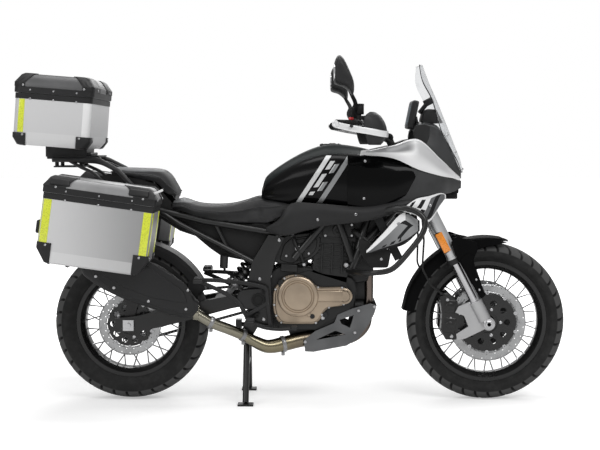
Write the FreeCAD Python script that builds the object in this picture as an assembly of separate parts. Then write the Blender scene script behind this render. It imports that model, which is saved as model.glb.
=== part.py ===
"""Adventure motorcycle with aluminium luggage, standing on its centre stand.

Frame: +X forward, +Y to the rider's left, +Z up, origin on the floor under the middle of its length.
Millimetres. One STEP file per node goes to parts/.
"""
import FreeCAD
import Part
import math
import os

from FreeCAD import Vector

# ---------------------------------------------------------------- driving dimensions
WHEELBASE = 1480.0
REAR_AXLE_X = -680.0
REAR_WHEEL_LIFT = 4.0          # the centre stand holds the rear tyre this far off the floor
RAKE = 27.0                    # steering axis from the vertical, degrees
AXLE_LEAD = 6.0                # wheel axle ahead of the fork legs' line
YOKE_OFFSET = 40.0             # fork legs ahead of the steering axis
FORK_SPREAD = 105.0            # fork leg from the centre plane

FRONT_TYRE_R = 329.5
FRONT_TYRE_W = 110.0
FRONT_BEAD_R = 241.3
FRONT_RIM_HALF = 36.0
FRONT_RIM_INNER = 218.0
REAR_TYRE_R = 321.0
REAR_TYRE_W = 150.0
REAR_BEAD_R = 215.9
REAR_RIM_HALF = 56.0
REAR_RIM_INNER = 194.0
TYRE_WALL = 9.0
RIM_WALL = 4.0
FLANGE_HEIGHT = 13.0
SPOKES = 36
SPOKE_R = 2.0

AXLE_R = 10.0
PIN_GAP = 0.08                 # running clearance of an axle or pin in its bore
SEAT_GAP = 0.3                 # a piece at rest lies this far from what carries it
STEERING_GAP = 19.0            # room kept round the turning fork clamps
SWING_GAP = 5.0                # least clearance of a moving piece

FRONT_DISC_R = 160.0
FRONT_DISC_Y = 72.0
REAR_DISC_R = 130.0
REAR_DISC_Y = 90.0
DISC_T = 5.0

CHAIN_Y = 92.0
CHAIN_W = 15.0
CHAIN_H = 15.0
REAR_SPROCKET_R = 100.0
FRONT_SPROCKET_R = 39.0
SPROCKET_T = 6.0

PIVOT_X, PIVOT_Z = -139.0, 444.0      # swingarm pivot
STAND_PIVOT_X, STAND_PIVOT_Z = -196.0, 292.0
STAND_FOOT_Y = 165.0
SIDE_STAND_X, SIDE_STAND_Y, SIDE_STAND_Z = -30.0, 176.0, 285.0
SIDE_STAND_TILT = 15.0                # lean of the side stand's pivot bolt, degrees

PANNIER_TILT = 8.0                    # the cases rise to the rear, degrees
PANNIER_IN, PANNIER_OUT = 262.0, 482.0
TOP_BOX_TILT = 4.5
TOP_BOX_HALF = 240.0
BOX_WALL = 2.5
MIN_CHIP = 60.0                       # volume under which a cut-off flake is dropped, mm3

FRONT_AXLE = Vector(REAR_AXLE_X + WHEELBASE, 0, FRONT_TYRE_R)
REAR_AXLE = Vector(REAR_AXLE_X, 0, REAR_TYRE_R + REAR_WHEEL_LIFT)
Y, Z = Vector(0, 1, 0), Vector(0, 0, 1)


# ---------------------------------------------------------------- shape helpers
def fuse(*shapes):
    """One shape from several that meet."""
    joined = shapes[0].multiFuse(list(shapes[1:])) if len(shapes) > 1 else shapes[0]
    return joined.removeSplitter()


def cut(shape, *tools):
    """shape less tools, without the flakes that a graze leaves."""
    box = shape.BoundBox
    near = [t for t in tools if t.BoundBox.intersect(box)]
    if not near:
        return shape
    left = shape.cut(near[0] if len(near) == 1 else near)
    return Part.makeCompound([s for s in left.Solids if s.Volume > MIN_CHIP])


def group(*shapes):
    """Solids that share a node without touching."""
    return Part.makeCompound([s for shape in shapes for s in shape.Solids])


def mirror(shape):
    """The same piece on the other side of the centre plane."""
    return shape.mirror(Vector(0, 0, 0), Y)


def pair(shape):
    """A right and a left piece."""
    return group(shape, mirror(shape))


def polygon(points):
    return Part.makePolygon([*points, points[0]])


def prism(outline, y0, y1):
    """A side outline of (x, z) points carried across from y0 to y1."""
    wire = polygon([Vector(x, y0, z) for x, z in outline])
    return Part.Face(wire).extrude(Vector(0, y1 - y0, 0))


def block(x, y, z):
    """A box from three (low, high) spans."""
    return Part.makeBox(x[1] - x[0], y[1] - y[0], z[1] - z[0], Vector(x[0], y[0], z[0]))


def loft(sections):
    """A solid ruled from one polygon of points to the next."""
    return Part.makeLoft([polygon(points) for points in sections], True, True)


def rod(start, end, radius):
    """A round bar between two points."""
    start, end = Vector(*start), Vector(*end)
    return Part.makeCylinder(radius, (end - start).Length, start, end - start)


def bent_wire(points, bend):
    """Straight runs through points, joined by tangent arcs of radius bend where the runs allow it."""
    points = [Vector(*p) for p in points]
    edges, last = [], points[0]
    for before, corner, after in zip(points, points[1:], points[2:]):
        come, go = (corner - before).normalize(), (after - corner).normalize()
        turn = come.getAngle(go)
        if turn < 1e-3:
            continue
        reach = min(bend * math.tan(turn / 2), 0.45 * (corner - before).Length,
                    0.45 * (after - corner).Length)
        radius = reach / math.tan(turn / 2)
        centre = corner + (go - come).normalize() * (radius / math.cos(turn / 2))
        start, end = corner - come * reach, corner + go * reach
        middle = centre + (corner - centre).normalize() * radius
        edges += [Part.LineSegment(last, start).toShape(), Part.Arc(start, middle, end).toShape()]
        last = end
    return Part.Wire([*edges, Part.LineSegment(last, points[-1]).toShape()])


def tube(points, radius, bend=60.0):
    """A bent round tube through points."""
    points = [Vector(*p) for p in points]
    ring = Part.Wire([Part.Circle(points[0], points[1] - points[0], radius).toShape()])
    return bent_wire(points, bend).makePipeShell([ring], True, False)


def spin(profile, centre):
    """Turns a closed profile of (y, r) points about the Y axis through centre."""
    wire = polygon([Vector(centre.x, y, centre.z + r) for y, r in profile])
    return Part.Face(wire).revolve(centre, Y, 360)


def disc(centre, y0, y1, radius, bore=0.0):
    """A round plate or ring about the Y axis through centre."""
    low = Vector(centre.x, y0, centre.z)
    plate = Part.makeCylinder(radius, y1 - y0, low, Y)
    return plate.cut(Part.makeCylinder(bore, y1 - y0, low, Y)) if bore else plate


def side_panel(stations, wall):
    """A right-hand body panel: at each station x a strip from (y, z) top over its middle to its foot,
    as thick as wall. stations: x, then (reach from the centre plane, z) for top, middle and foot."""
    sections = []
    for x, top, middle, foot in stations:
        outer = [Vector(x, -y, z) for y, z in (top, middle, foot)]
        inner = [Vector(x, -(y - wall), z) for y, z in (foot, middle, top)]
        sections.append(outer + inner)
    return loft(sections)


def fork_point(up, ahead, y):
    """A point of the fork: up along the steering axis from the front axle, ahead square to it."""
    rake = math.radians(RAKE)
    along = Vector(-math.sin(rake), 0, math.cos(rake)) * up
    across = Vector(math.cos(rake), 0, math.sin(rake)) * ahead
    return FRONT_AXLE + along + across + Vector(0, y, 0)


def in_fork(shape):
    """Places a shape that was built with Z along the steering axis and its origin at the front axle."""
    turned = shape.copy()
    turned.Placement = FreeCAD.Placement(FRONT_AXLE, FreeCAD.Rotation(Y, -RAKE))
    return turned


def tilted(shape, pivot, degrees):
    """Turns a shape nose down about the Y axis through pivot."""
    turned = shape.copy()
    turned.rotate(pivot, Y, degrees)
    return turned


# ---------------------------------------------------------------- wheels
def tyre(centre, radius, width, bead, rim_half):
    """A hollow tyre, open between its beads, whose beads sit inside the rim's flanges."""
    half, seat = width / 2, rim_half - SEAT_GAP
    outer = [(-seat, bead + SEAT_GAP), (-seat, bead + FLANGE_HEIGHT + 2),
             (-half * 0.93, bead + 0.35 * (radius - bead)), (-half, bead + 0.6 * (radius - bead)),
             (-half * 0.93, radius - 20), (-half * 0.62, radius - 6.5), (-half * 0.3, radius - 1.2),
             (0, radius)]
    outer += [(-y, r) for y, r in reversed(outer[:-1])]
    inner = [(seat - TYRE_WALL, bead + SEAT_GAP), (half * 0.93 - TYRE_WALL, bead + 0.35 * (radius - bead)),
             (half * 0.86 - TYRE_WALL, radius - 22 - TYRE_WALL), (half * 0.4, radius - 5 - TYRE_WALL)]
    inner += [(-y, r) for y, r in reversed(inner)]
    return spin(outer + inner, centre)


def rim_ring(centre, bead, rim_half, inner):
    """The rim: a well between two flanges."""
    edge, flange = rim_half + RIM_WALL, bead + FLANGE_HEIGHT
    right = [(-edge, flange), (-edge, bead - 8), (-rim_half * 0.55, inner)]
    back = [(-rim_half * 0.5, inner + 5), (-rim_half, bead - 3), (-rim_half, flange)]
    return spin([*right, *[(-y, r) for y, r in reversed(right)], *[(-y, r) for y, r in reversed(back)],
                 *back], centre)


def laced_wheel(centre, bead, rim_half, inner, barrel_r, flange_r, flange_y):
    """Hub, spokes and rim as one laced wheel: half of the spokes leave each hub flange, crossing in pairs."""
    hub = fuse(disc(centre, -flange_y, flange_y, barrel_r),
               disc(centre, -flange_y, -flange_y + 8, flange_r),
               disc(centre, flange_y - 8, flange_y, flange_r))
    pitch = 2 * math.pi / SPOKES
    spokes = []
    for i in range(SPOKES):
        side = 1 if i % 2 else -1
        sweep = 3.2 * pitch * (1 if i // 2 % 2 else -1)
        rim_angle = i * pitch
        start = Vector((flange_r - 6) * math.cos(rim_angle + sweep), side * (flange_y - 4),
                       (flange_r - 6) * math.sin(rim_angle + sweep))
        end = Vector((inner + 3) * math.cos(rim_angle), side * rim_half * 0.2,
                     (inner + 3) * math.sin(rim_angle))
        spokes.append(rod(start + centre, end + centre, SPOKE_R))
    wheel = fuse(hub, rim_ring(centre, bead, rim_half, inner), *spokes)
    return wheel.cut(disc(centre, -flange_y - 1, flange_y + 1, AXLE_R + PIN_GAP))


def brake_disc(centre, y, radius, hub_r, track):
    """A brake disc: a swept ring on a spider that reaches in to the hub."""
    low, high = y - DISC_T / 2, y + DISC_T / 2
    ring = disc(centre, low, high, radius, radius - track)
    arms = [rod(centre + Vector(0, y, 0) + Vector(math.cos(a), 0, math.sin(a)) * hub_r,
                centre + Vector(0, y, 0) + Vector(math.cos(a), 0, math.sin(a)) * (radius - track + 3),
                DISC_T / 2)
            for a in [k * math.pi / 5 for k in range(10)]]
    carrier = disc(centre, low, high, hub_r + 6, hub_r - 20)
    return fuse(ring, carrier, *arms)


def wheel_nodes():
    """Tyres, laced wheels, brake discs and the rear sprocket."""
    front_hub = (FRONT_AXLE, FRONT_BEAD_R, FRONT_RIM_HALF, FRONT_RIM_INNER, 26.0, 44.0, 40.0)
    rear_hub = (REAR_AXLE, REAR_BEAD_R, REAR_RIM_HALF, REAR_RIM_INNER, 32.0, 60.0, 58.0)
    carriers = []
    for side in (-1, 1):
        face = FRONT_DISC_Y - DISC_T / 2
        carriers.append(disc(FRONT_AXLE, *sorted((side * 40, side * (face - 8))), 34.0, AXLE_R + PIN_GAP))
        carriers.append(disc(FRONT_AXLE, *sorted((side * (face - 8), side * face)), 60.0, AXLE_R + PIN_GAP))
    front = fuse(laced_wheel(*front_hub), *carriers)
    rear_low, rear_high = -REAR_DISC_Y + DISC_T / 2, CHAIN_Y - SPROCKET_T / 2
    rear = fuse(laced_wheel(*rear_hub), disc(REAR_AXLE, rear_low, -58.0, 52.0, AXLE_R + PIN_GAP),
                disc(REAR_AXLE, 58.0, rear_high, 60.0, AXLE_R + PIN_GAP))
    discs = group(*[brake_disc(FRONT_AXLE, side * FRONT_DISC_Y, FRONT_DISC_R, 62.0, 36.0)
                    for side in (-1, 1)])
    return {
        "front_tyre": tyre(FRONT_AXLE, FRONT_TYRE_R, FRONT_TYRE_W, FRONT_BEAD_R, FRONT_RIM_HALF),
        "front_wheel": front,
        "front_discs": discs,
        "rear_tyre": tyre(REAR_AXLE, REAR_TYRE_R, REAR_TYRE_W, REAR_BEAD_R, REAR_RIM_HALF),
        "rear_wheel": rear,
        "rear_disc": brake_disc(REAR_AXLE, -REAR_DISC_Y, REAR_DISC_R, 62.0, 34.0),
        "rear_sprocket": sprocket(),
    }


def sprocket():
    """The rear sprocket: teeth round a plate with a bore for its carrier."""
    low = CHAIN_Y - SPROCKET_T / 2
    teeth = 42
    points = []
    for i in range(teeth):
        for share, r in ((0.0, 0.0), (0.35, 0.0), (0.5, 4.0), (0.85, 4.0)):
            a = 2 * math.pi * (i + share) / teeth
            points.append(Vector(REAR_AXLE.x + (REAR_SPROCKET_R - 4 + r) * math.cos(a), low,
                                 REAR_AXLE.z + (REAR_SPROCKET_R - 4 + r) * math.sin(a)))
    plate = Part.Face(polygon(points)).extrude(Vector(0, SPROCKET_T, 0))
    windows = [disc(REAR_AXLE + Vector(math.cos(a), 0, math.sin(a)) * 68.0, low, low + SPROCKET_T, 11.0)
               for a in [k * math.pi / 3 for k in range(6)]]
    return plate.cut([disc(REAR_AXLE, low, low + SPROCKET_T, 44.0), *windows])


# ---------------------------------------------------------------- fork, steering and controls
FORK_R, STANCHION_R, CLAMP_R = 27.0, 20.5, 38.0
FORK_FOOT, FORK_SLIDE, FORK_TOP = 96.0, 303.0, 776.0
LOWER_YOKE, LOWER_YOKE_T = 546.0, 30.0
UPPER_YOKE, UPPER_YOKE_T = 742.0, 22.0
STEM_R = 15.0
LEG_AHEAD = -AXLE_LEAD
STEER_AHEAD = -AXLE_LEAD - YOKE_OFFSET


def leg(up0, up1, radius, y):
    """A length of fork leg between two heights along it."""
    return rod(fork_point(up0, LEG_AHEAD, y), fork_point(up1, LEG_AHEAD, y), radius)


def fork_tubes():
    """The two outer tubes, held by the yokes, each with its slider bush ring."""
    return pair(fuse(leg(FORK_SLIDE, FORK_TOP, FORK_R, -FORK_SPREAD),
                     leg(FORK_SLIDE - 8, FORK_SLIDE + 12, FORK_R + 2.5, -FORK_SPREAD)))


def fork_legs():
    """The inner tubes with their cast feet, joined by the front axle."""
    bosses = []
    for side in (-1, 1):
        stanchion = leg(60.0, FORK_SLIDE - 8 - SEAT_GAP, STANCHION_R, side * FORK_SPREAD)
        clamp = leg(20.0, FORK_FOOT + 12, FORK_R, side * FORK_SPREAD)
        inner, outer = side * (FORK_SPREAD - 20), side * (FORK_SPREAD + 16)
        boss = disc(FRONT_AXLE, min(inner, outer), max(inner, outer), 27.0)
        arm = prism([(722, 420), (676, 400), (664, 376), (700, 362), (718, 318), (668, 286), (672, 262),
                     (706, 268), (796, 312),
                     (790, 350)], side * FORK_SPREAD - 7, side * FORK_SPREAD + 7)
        bosses += [stanchion, clamp, boss, arm]
    return fuse(*bosses, disc(FRONT_AXLE, -FORK_SPREAD, FORK_SPREAD, AXLE_R))


def yoke(up, thickness, stem_boss):
    """A yoke plate: a clamp round each leg and a boss at the stem, all square to the steering axis."""
    outline = [(-22, -34), (6, -FORK_SPREAD - CLAMP_R + 8), (30, -FORK_SPREAD), (20, -FORK_SPREAD + 44),
               (14, 0), (20, FORK_SPREAD - 44), (30, FORK_SPREAD), (6, FORK_SPREAD + CLAMP_R - 8),
               (-22, 34)]
    plate = Part.Face(polygon([Vector(LEG_AHEAD + x - 22, y, up) for x, y in outline])).extrude(Vector(0,
                                                                                                       0,
                                                                                                       thickness))
    rings = [Part.makeCylinder(CLAMP_R, thickness, Vector(LEG_AHEAD, y, up), Z)
             for y in (-FORK_SPREAD, FORK_SPREAD)]
    boss = Part.makeCylinder(stem_boss, thickness, Vector(STEER_AHEAD, 0, up), Z)
    return fuse(plate, boss, *rings)


def yokes():
    """Both yokes on the steering stem, bored for the legs."""
    stem = Part.makeCylinder(STEM_R, UPPER_YOKE - LOWER_YOKE - LOWER_YOKE_T + 8,
                             Vector(STEER_AHEAD, 0, LOWER_YOKE + LOWER_YOKE_T - 4), Z)
    body = fuse(yoke(LOWER_YOKE, LOWER_YOKE_T, 30.0), yoke(UPPER_YOKE, UPPER_YOKE_T, 28.0), stem)
    bores = [Part.makeCylinder(FORK_R, FORK_TOP, Vector(LEG_AHEAD, y, 0), Z)
             for y in (-FORK_SPREAD, FORK_SPREAD)]
    return in_fork(body.cut(bores))


BAR_R, BAR_CLAMP_X, BAR_CLAMP_Z = 11.0, 392.0, 1094.0
BAR_CLAMP_R, BAR_CLAMP_HALF = 18.0, 13.0
RISER_R, RISER_REACH, RISER_AHEAD, RISER_ROOT = 14.0, 28.0, 22.0, 8.0
# the bar's right half: x, reach from the centre plane, z
BAR_ROUTE = [(392, 0, 1094), (392, 60, 1094), (352, 150, 1132), (292, 215, 1146), (166, 428, 1146)]


def handlebar():
    """The bar on two risers that stand on the upper yoke."""
    route = [(x, -y, z) for x, y, z in reversed(BAR_ROUTE)] + [(x, y, z) for x, y, z in BAR_ROUTE[1:]]
    bar = tube(route, BAR_R, 55.0)
    foot = UPPER_YOKE + UPPER_YOKE_T - RISER_ROOT
    risers = []
    for side in (-1, 1):
        reach = side * RISER_REACH
        base = fork_point(foot, STEER_AHEAD + RISER_AHEAD, reach)
        head = Vector(BAR_CLAMP_X, reach, BAR_CLAMP_Z)
        clamp = disc(head, reach - BAR_CLAMP_HALF, reach + BAR_CLAMP_HALF, BAR_CLAMP_R)
        risers.append(fuse(rod(base, head, RISER_R), clamp))
    return cut(fuse(bar, *risers), yokes())


def along_bar(share):
    """A point on the straight outer run of the right-hand bar, and its direction to the end."""
    inner, outer = BAR_ROUTE[-2], BAR_ROUTE[-1]
    start, end = Vector(inner[0], -inner[1], inner[2]), Vector(outer[0], -outer[1], outer[2])
    return start + (end - start) * share, (end - start).normalize()


def bar_controls():
    """Grips, switch pods, levers and master cylinders, clear of each other in one node."""
    (inner, along), (outer, _) = along_bar(0.48), along_bar(0.99)
    grip = rod(inner, outer, 17.0)
    pod = rod(along_bar(0.345)[0], along_bar(0.47)[0], 21.0)
    clamp_in, clamp_out = along_bar(0.20)[0], along_bar(0.335)[0]
    middle = (clamp_in + clamp_out) / 2
    clamp = rod(clamp_in, clamp_out, 18.0)
    reservoir = Part.makeCylinder(20.0, 41.0, middle + Vector(0, 0, 39), Z)
    neck = rod(middle, middle + Vector(0, 0, 42), 10.0)
    perch = rod(clamp_out + Vector(4, 6, 0), clamp_out + Vector(54, 2, -6), 9.0)
    lever = tube([clamp_out + Vector(48, 4, -6), clamp_out + Vector(48, -30, -8),
                  outer + Vector(62, 30, -10)], 5.5, 20.0)
    master = fuse(clamp, neck, reservoir, perch, lever)
    return pair(cut(group(grip, pod, master), handlebar()))


def handguards():
    """A bar from each grip end to the inner bar, with a shell in front of the hand."""
    end, along = along_bar(1.0)
    tip = end + along * 4
    shell_outline = [(258, 1170), (300, 1192), (336, 1186), (372, 1118), (352, 1078), (296, 1088),
                     (258, 1108)]
    outer, inner = -402.0, -262.0
    nose = [(x + 16, z) for x, z in shell_outline]
    shell = loft([[Vector(x, outer, z) for x, z in shell_outline],
                  [Vector(x, inner, z) for x, z in nose]])
    hollow = loft([[Vector(x - 12, outer + 6, z) for x, z in shell_outline],
                   [Vector(x - 12, inner - 6, z) for x, z in nose]])
    cover = cut(shell, hollow)
    brace = tube([tip, tip + Vector(26, -6, -6), Vector(352, -412, 1108), Vector(372, -330, 1112),
                  Vector(362, -160, 1122)],
                 9.0, 30.0)
    cap = rod(end + along * SEAT_GAP, end + along * 14, 19.0)
    clamp = rod((346, -158, 1128), (372, -176, 1112), 11.0)
    return pair(cut(fuse(brace, cap, cover, clamp), handlebar(), bar_controls()))


def mirrors():
    """Each mirror: a dished head on a cranked stalk that stands on the master cylinder clamp."""
    base = along_bar(0.27)[0] + Vector(-8, 0, 6)
    head = [(0, 0), (34, 24), (58, 70), (30, 128), (14, 138), (2, 120), (-6, 60)]
    low, high = -452.0, -318.0
    outline_out = [(168 + x, 1282 + z) for x, z in head]
    outline_in = [(178 + x * 0.8, 1290 + z * 0.82) for x, z in head]
    shell = loft([[Vector(x, low, z) for x, z in outline_in],
                  [Vector(x, (low + high) / 2, z) for x, z in outline_out],
                  [Vector(x, high, z) for x, z in outline_in]])
    stalk = tube([base, Vector(222, -292, 1186), Vector(208, -350, 1262), Vector(198, -376, 1312)], 6.0,
                 20.0)
    return pair(cut(fuse(shell, stalk), bar_controls(), handlebar()))


FENDER_R, FENDER_T = 352.0, 4.0


def arc_band(centre, radius, thickness, half, skirt, start, end):
    """A mudguard: a channel turned about the axle, from start to end degrees behind the vertical."""
    inner = radius - thickness
    profile = [(-half, radius - skirt), (-half, radius - 14), (-half + 14, radius), (half - 14, radius),
               (half, radius - 14),
               (half, radius - skirt), (half - thickness, radius - skirt), (half - thickness, radius - 15),
               (half - 15, inner), (-half + 15, inner), (-half + thickness, radius - 15),
               (-half + thickness, radius - skirt)]
    wire = polygon([Vector(centre.x, y, centre.z + r) for y, r in profile])
    band = Part.Face(wire).revolve(centre, Y, start - end)
    band.rotate(centre, Y, -start)
    return band


def front_fender():
    """The mudguard round the tyre with a beak and a guard down each leg."""
    band = arc_band(FRONT_AXLE, FENDER_R, FENDER_T, 68.0, 48.0, -8.0, 82.0)
    beak = loft([[Vector(894, -6, 668), Vector(894, 6, 668), Vector(894, 6, 664), Vector(894, -6, 664)],
                 [Vector(820, -52, 684), Vector(820, 52, 684), Vector(820, 52, 672), Vector(820, -52, 672)],
                 [Vector(740, -64, 696), Vector(740, 64, 696), Vector(740, 64, 676),
                  Vector(740, -64, 676)]])
    guards = []
    outline = [(664, 694), (742, 660), (742, 606), (752, 560), (786, 452), (762, 440), (722, 452),
               (664, 560), (636, 612),
               (650, 660)]
    for side in (-1, 1):
        outer, inner = side * (FORK_SPREAD + 42), side * (FORK_SPREAD + 34)
        guards.append(prism(outline, *sorted((outer, inner))))
        tie = prism([(640, 648), (738, 640), (738, 672), (640, 680)], *sorted((side * 62, outer)))
        guards.append(tie)
    legs = [leg(up0, up1, grown, y) for y in (-FORK_SPREAD, FORK_SPREAD)
            for up0, up1, grown in ((0, 322, FORK_R + 3), (318, FORK_TOP, FORK_R + SEAT_GAP))]
    wheel_room = disc(FRONT_AXLE, -56.0, 56.0, FENDER_R - 14)
    return cut(fuse(band, beak, *guards), *legs, wheel_room)


def front_calipers():
    """Two radial calipers, each bridging its disc."""
    outline = [(600, 440), (640, 452), (674, 420), (680, 366), (676, 300), (668, 262), (626, 262),
               (606, 300), (610, 370)]
    body = prism(outline, -FRONT_DISC_Y - 32, -FRONT_DISC_Y + 28)
    slot_half = DISC_T / 2 + SWING_GAP
    slot = disc(FRONT_AXLE, -FRONT_DISC_Y - slot_half, -FRONT_DISC_Y + slot_half, FRONT_DISC_R + SWING_GAP)
    return pair(cut(body, slot, fork_legs()))


# right brake hose in the fork's own directions: up, ahead, left
HOSE_R = 4.0
HOSE = [(176, -104, -98), (250, -140, -112), (330, -140, -122), (430, -84, -142), (540, -40, -149),
        (700, -24, -149), (765, 4, -151), (800, 16, -142), (850, -22, -164), (895, -50, -195), (945, -98, -250)]


def brake_hoses():
    """A hose from each front caliper up beside its leg to the master cylinder."""
    return pair(tube([fork_point(*point) for point in HOSE], HOSE_R, 50.0))


def steering_nodes():
    legs, tubes, bar, controls = fork_legs(), fork_tubes(), handlebar(), bar_controls()
    plates = yokes()
    hoses = cut(brake_hoses(), legs, tubes, plates, bar, controls, front_calipers())
    return {
        "fork_tubes": tubes,
        "fork_legs": legs,
        "yokes": cut(plates, tubes),
        "handlebar": bar,
        "bar_controls": controls,
        "handguards": handguards(),
        "mirrors": mirrors(),
        "front_fender": front_fender(),
        "front_calipers": front_calipers(),
        "brake_hoses": hoses,
    }


# ---------------------------------------------------------------- frame, swingarm and engine
HEAD_R = 27.0


def head_tube():
    """The steering head tube, bored for the stem."""
    low, high = LOWER_YOKE + LOWER_YOKE_T + 2, UPPER_YOKE - 2
    shell = Part.makeCylinder(HEAD_R, high - low, Vector(STEER_AHEAD, 0, low), Z)
    return in_fork(shell), in_fork(Part.makeCylinder(STEM_R + PIN_GAP, high - low,
                                                     Vector(STEER_AHEAD, 0, low), Z))


FRAME_R = 15.0
# the right half of the trellis frame: name, tube points as x, reach from the centre plane, z
TRELLIS = {
    "spar": [(432, 18, 952), (340, 100, 860), (180, 128, 760), (-60, 128, 700), (-139, 122, 560)],
    "down": [(474, 18, 862), (380, 108, 760), (268, 140, 640), (236, 140, 560)],
    "brace": [(330, 104, 852), (262, 138, 640)],
    "strut": [(180, 128, 760), (240, 140, 590)],
    "tie": [(120, 128, 742), (0, 128, 600)],
}


def main_frame():
    """Head tube, trellis tubes and the forged plates that hold the swingarm pivot."""
    head, bore = head_tube()
    tubes = [tube([(x, side * y, z) for x, y, z in route], FRAME_R, 50.0) for route in TRELLIS.values()
             for side in (-1, 1)]
    plate = [(-104, 698), (-39, 687), (-75, 611), (-96, 520), (-92, 430), (-104, 330), (-150, 318),
             (-196, 400), (-186, 520),
             (-170, 590)]
    plates = [prism(plate, *span) for span in ((-146, -126), (126, 146))]
    crossings = [rod((-138, -130, 336), (-138, 130, 336), 10.0),
                 rod((-60, -128, 700), (-60, 128, 700), 14.0),
                 rod((-106, -130, 652), (-106, 130, 652), 12.0),
                 rod((236, -140, 560), (236, 140, 560), 13.0)]
    nose_stay = prism([(478, 866), (478, 900), (646, 914), (646, 888)], -18, 18)
    pivot = rod((PIVOT_X, -150, PIVOT_Z), (PIVOT_X, 150, PIVOT_Z), 12.0)
    return cut(fuse(head, *tubes, *plates, *crossings, pivot, nose_stay), bore)


def subframe():
    """The rear rails that carry the seat, the tail and the racks."""
    right = [
        tube([(-66, 122, 702), (-370, 120, 752), (-560, 118, 800), (-760, 96, 888)], 12.0, 60.0),
        tube([(-142, 121, 572), (-470, 120, 742), (-560, 118, 800)], 12.0, 60.0),
        rod((-323, -118, 740), (-272, -118, 640), 8.0),
    ]
    halves = [mirror(right[0]), right[0], mirror(right[1]), right[1], mirror(right[2]), right[2]]
    crossings = [rod((x, -118, z), (x, 118, z), 10.0) for x, z in ((-370, 752), (-740, 878))]
    return fuse(*halves, *crossings)


def swingarm():
    """Two box arms joined ahead of the tyre by a cross brace, bored for the pivot."""
    outline = [(-736, 296), (-736, 352), (-640, 364), (-477, 404), (-260, 446), (PIVOT_X - 6, PIVOT_Z + 15),
               (PIVOT_X + 18, PIVOT_Z), (PIVOT_X - 6, PIVOT_Z - 30), (-260, 392), (-477, 334), (-640, 298)]
    side = prism(outline, -140, 140)
    plan = [(PIVOT_X + 30, 78), (-300, 80), (-560, 106), (-740, 106), (-740, 134), (-540, 134),
            (-290, 118), (PIVOT_X + 30, 118)]
    arms = []
    for sign in (-1, 1):
        wire = polygon([Vector(x, sign * y, 250) for x, y in plan])
        arms.append(Part.Face(wire).extrude(Vector(0, 0, 260)).common(side))
    brace = prism([(-330, 386), (-330, 430), (-262, 444), (-262, 398)], -96, 96)
    tunnel = rod((PIVOT_X, -119, PIVOT_Z), (PIVOT_X, 119, PIVOT_Z), 19.0)
    slots = block((REAR_AXLE.x - 24, REAR_AXLE.x + 24), (-140, 140),
                  (REAR_AXLE.z - AXLE_R - SEAT_GAP, REAR_AXLE.z + AXLE_R + SEAT_GAP))
    return cut(fuse(*arms, brace, tunnel), rod((PIVOT_X, -200, PIVOT_Z), (PIVOT_X, 200, PIVOT_Z), 12.0),
               slots)


def rear_axle():
    """The axle with a square adjuster block outside each arm."""
    blocks = [block((REAR_AXLE.x - 22, REAR_AXLE.x + 22), span, (REAR_AXLE.z - 22, REAR_AXLE.z + 22))
              for span in ((-142, -134 - SEAT_GAP), (134 + SEAT_GAP, 142))]
    return fuse(disc(REAR_AXLE, -150, 150, AXLE_R), *blocks)


def rear_caliper():
    """The rear caliper over the disc, on a bracket that hangs from the axle."""
    body = prism([(-706, 420), (-690, 456), (-620, 470), (-588, 440), (-590, 404), (-640, 412)],
                 -REAR_DISC_Y - 24, -REAR_DISC_Y + 20)
    bracket = prism([(-700, 342), (-662, 342), (-640, 420), (-690, 430)], -REAR_DISC_Y - 17,
                    -REAR_DISC_Y - 9)
    slot_half = DISC_T / 2 + SWING_GAP
    slot = disc(REAR_AXLE, -REAR_DISC_Y - slot_half, -REAR_DISC_Y + slot_half, REAR_DISC_R + SWING_GAP)
    return cut(fuse(body, bracket), slot, swingarm(), rear_axle())


def chain():
    """One loop of chain round both sprockets: plates each side of a gap for the teeth."""
    front = Vector(PIVOT_X + 96, 0, PIVOT_Z - 6)
    low, high = CHAIN_Y - CHAIN_W / 2, CHAIN_Y + CHAIN_W / 2

    def belt(grow, y0, y1):
        """The stadium round both sprockets, grown outwards."""
        big, small = REAR_SPROCKET_R + grow, FRONT_SPROCKET_R + grow
        line = front - REAR_AXLE
        base = math.atan2(line.z, line.x)
        open_angle = math.acos((big - small) / line.Length)
        upper, lower = base + open_angle, base - open_angle

        def at(centre, r, a):
            return Vector(centre.x + r * math.cos(a), y0, centre.z + r * math.sin(a))
        edges = [
            Part.LineSegment(at(REAR_AXLE, big, upper), at(front, small, upper)).toShape(),
            Part.Arc(at(front, small, upper), at(front, small, base), at(front, small, lower)).toShape(),
            Part.LineSegment(at(front, small, lower), at(REAR_AXLE, big, lower)).toShape(),
            Part.Arc(at(REAR_AXLE, big, lower), at(REAR_AXLE, big, base + math.pi),
                     at(REAR_AXLE, big, upper)).toShape(),
        ]
        return Part.Face(Part.Wire(edges)).extrude(Vector(0, y1 - y0, 0))
    body = belt(CHAIN_H - 4, low, high).cut(belt(-4, low, high))
    groove = belt(SWING_GAP - 2, CHAIN_Y - SPROCKET_T / 2 - 1.5, CHAIN_Y + SPROCKET_T / 2 + 1.5)
    return cut(body, groove)


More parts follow.
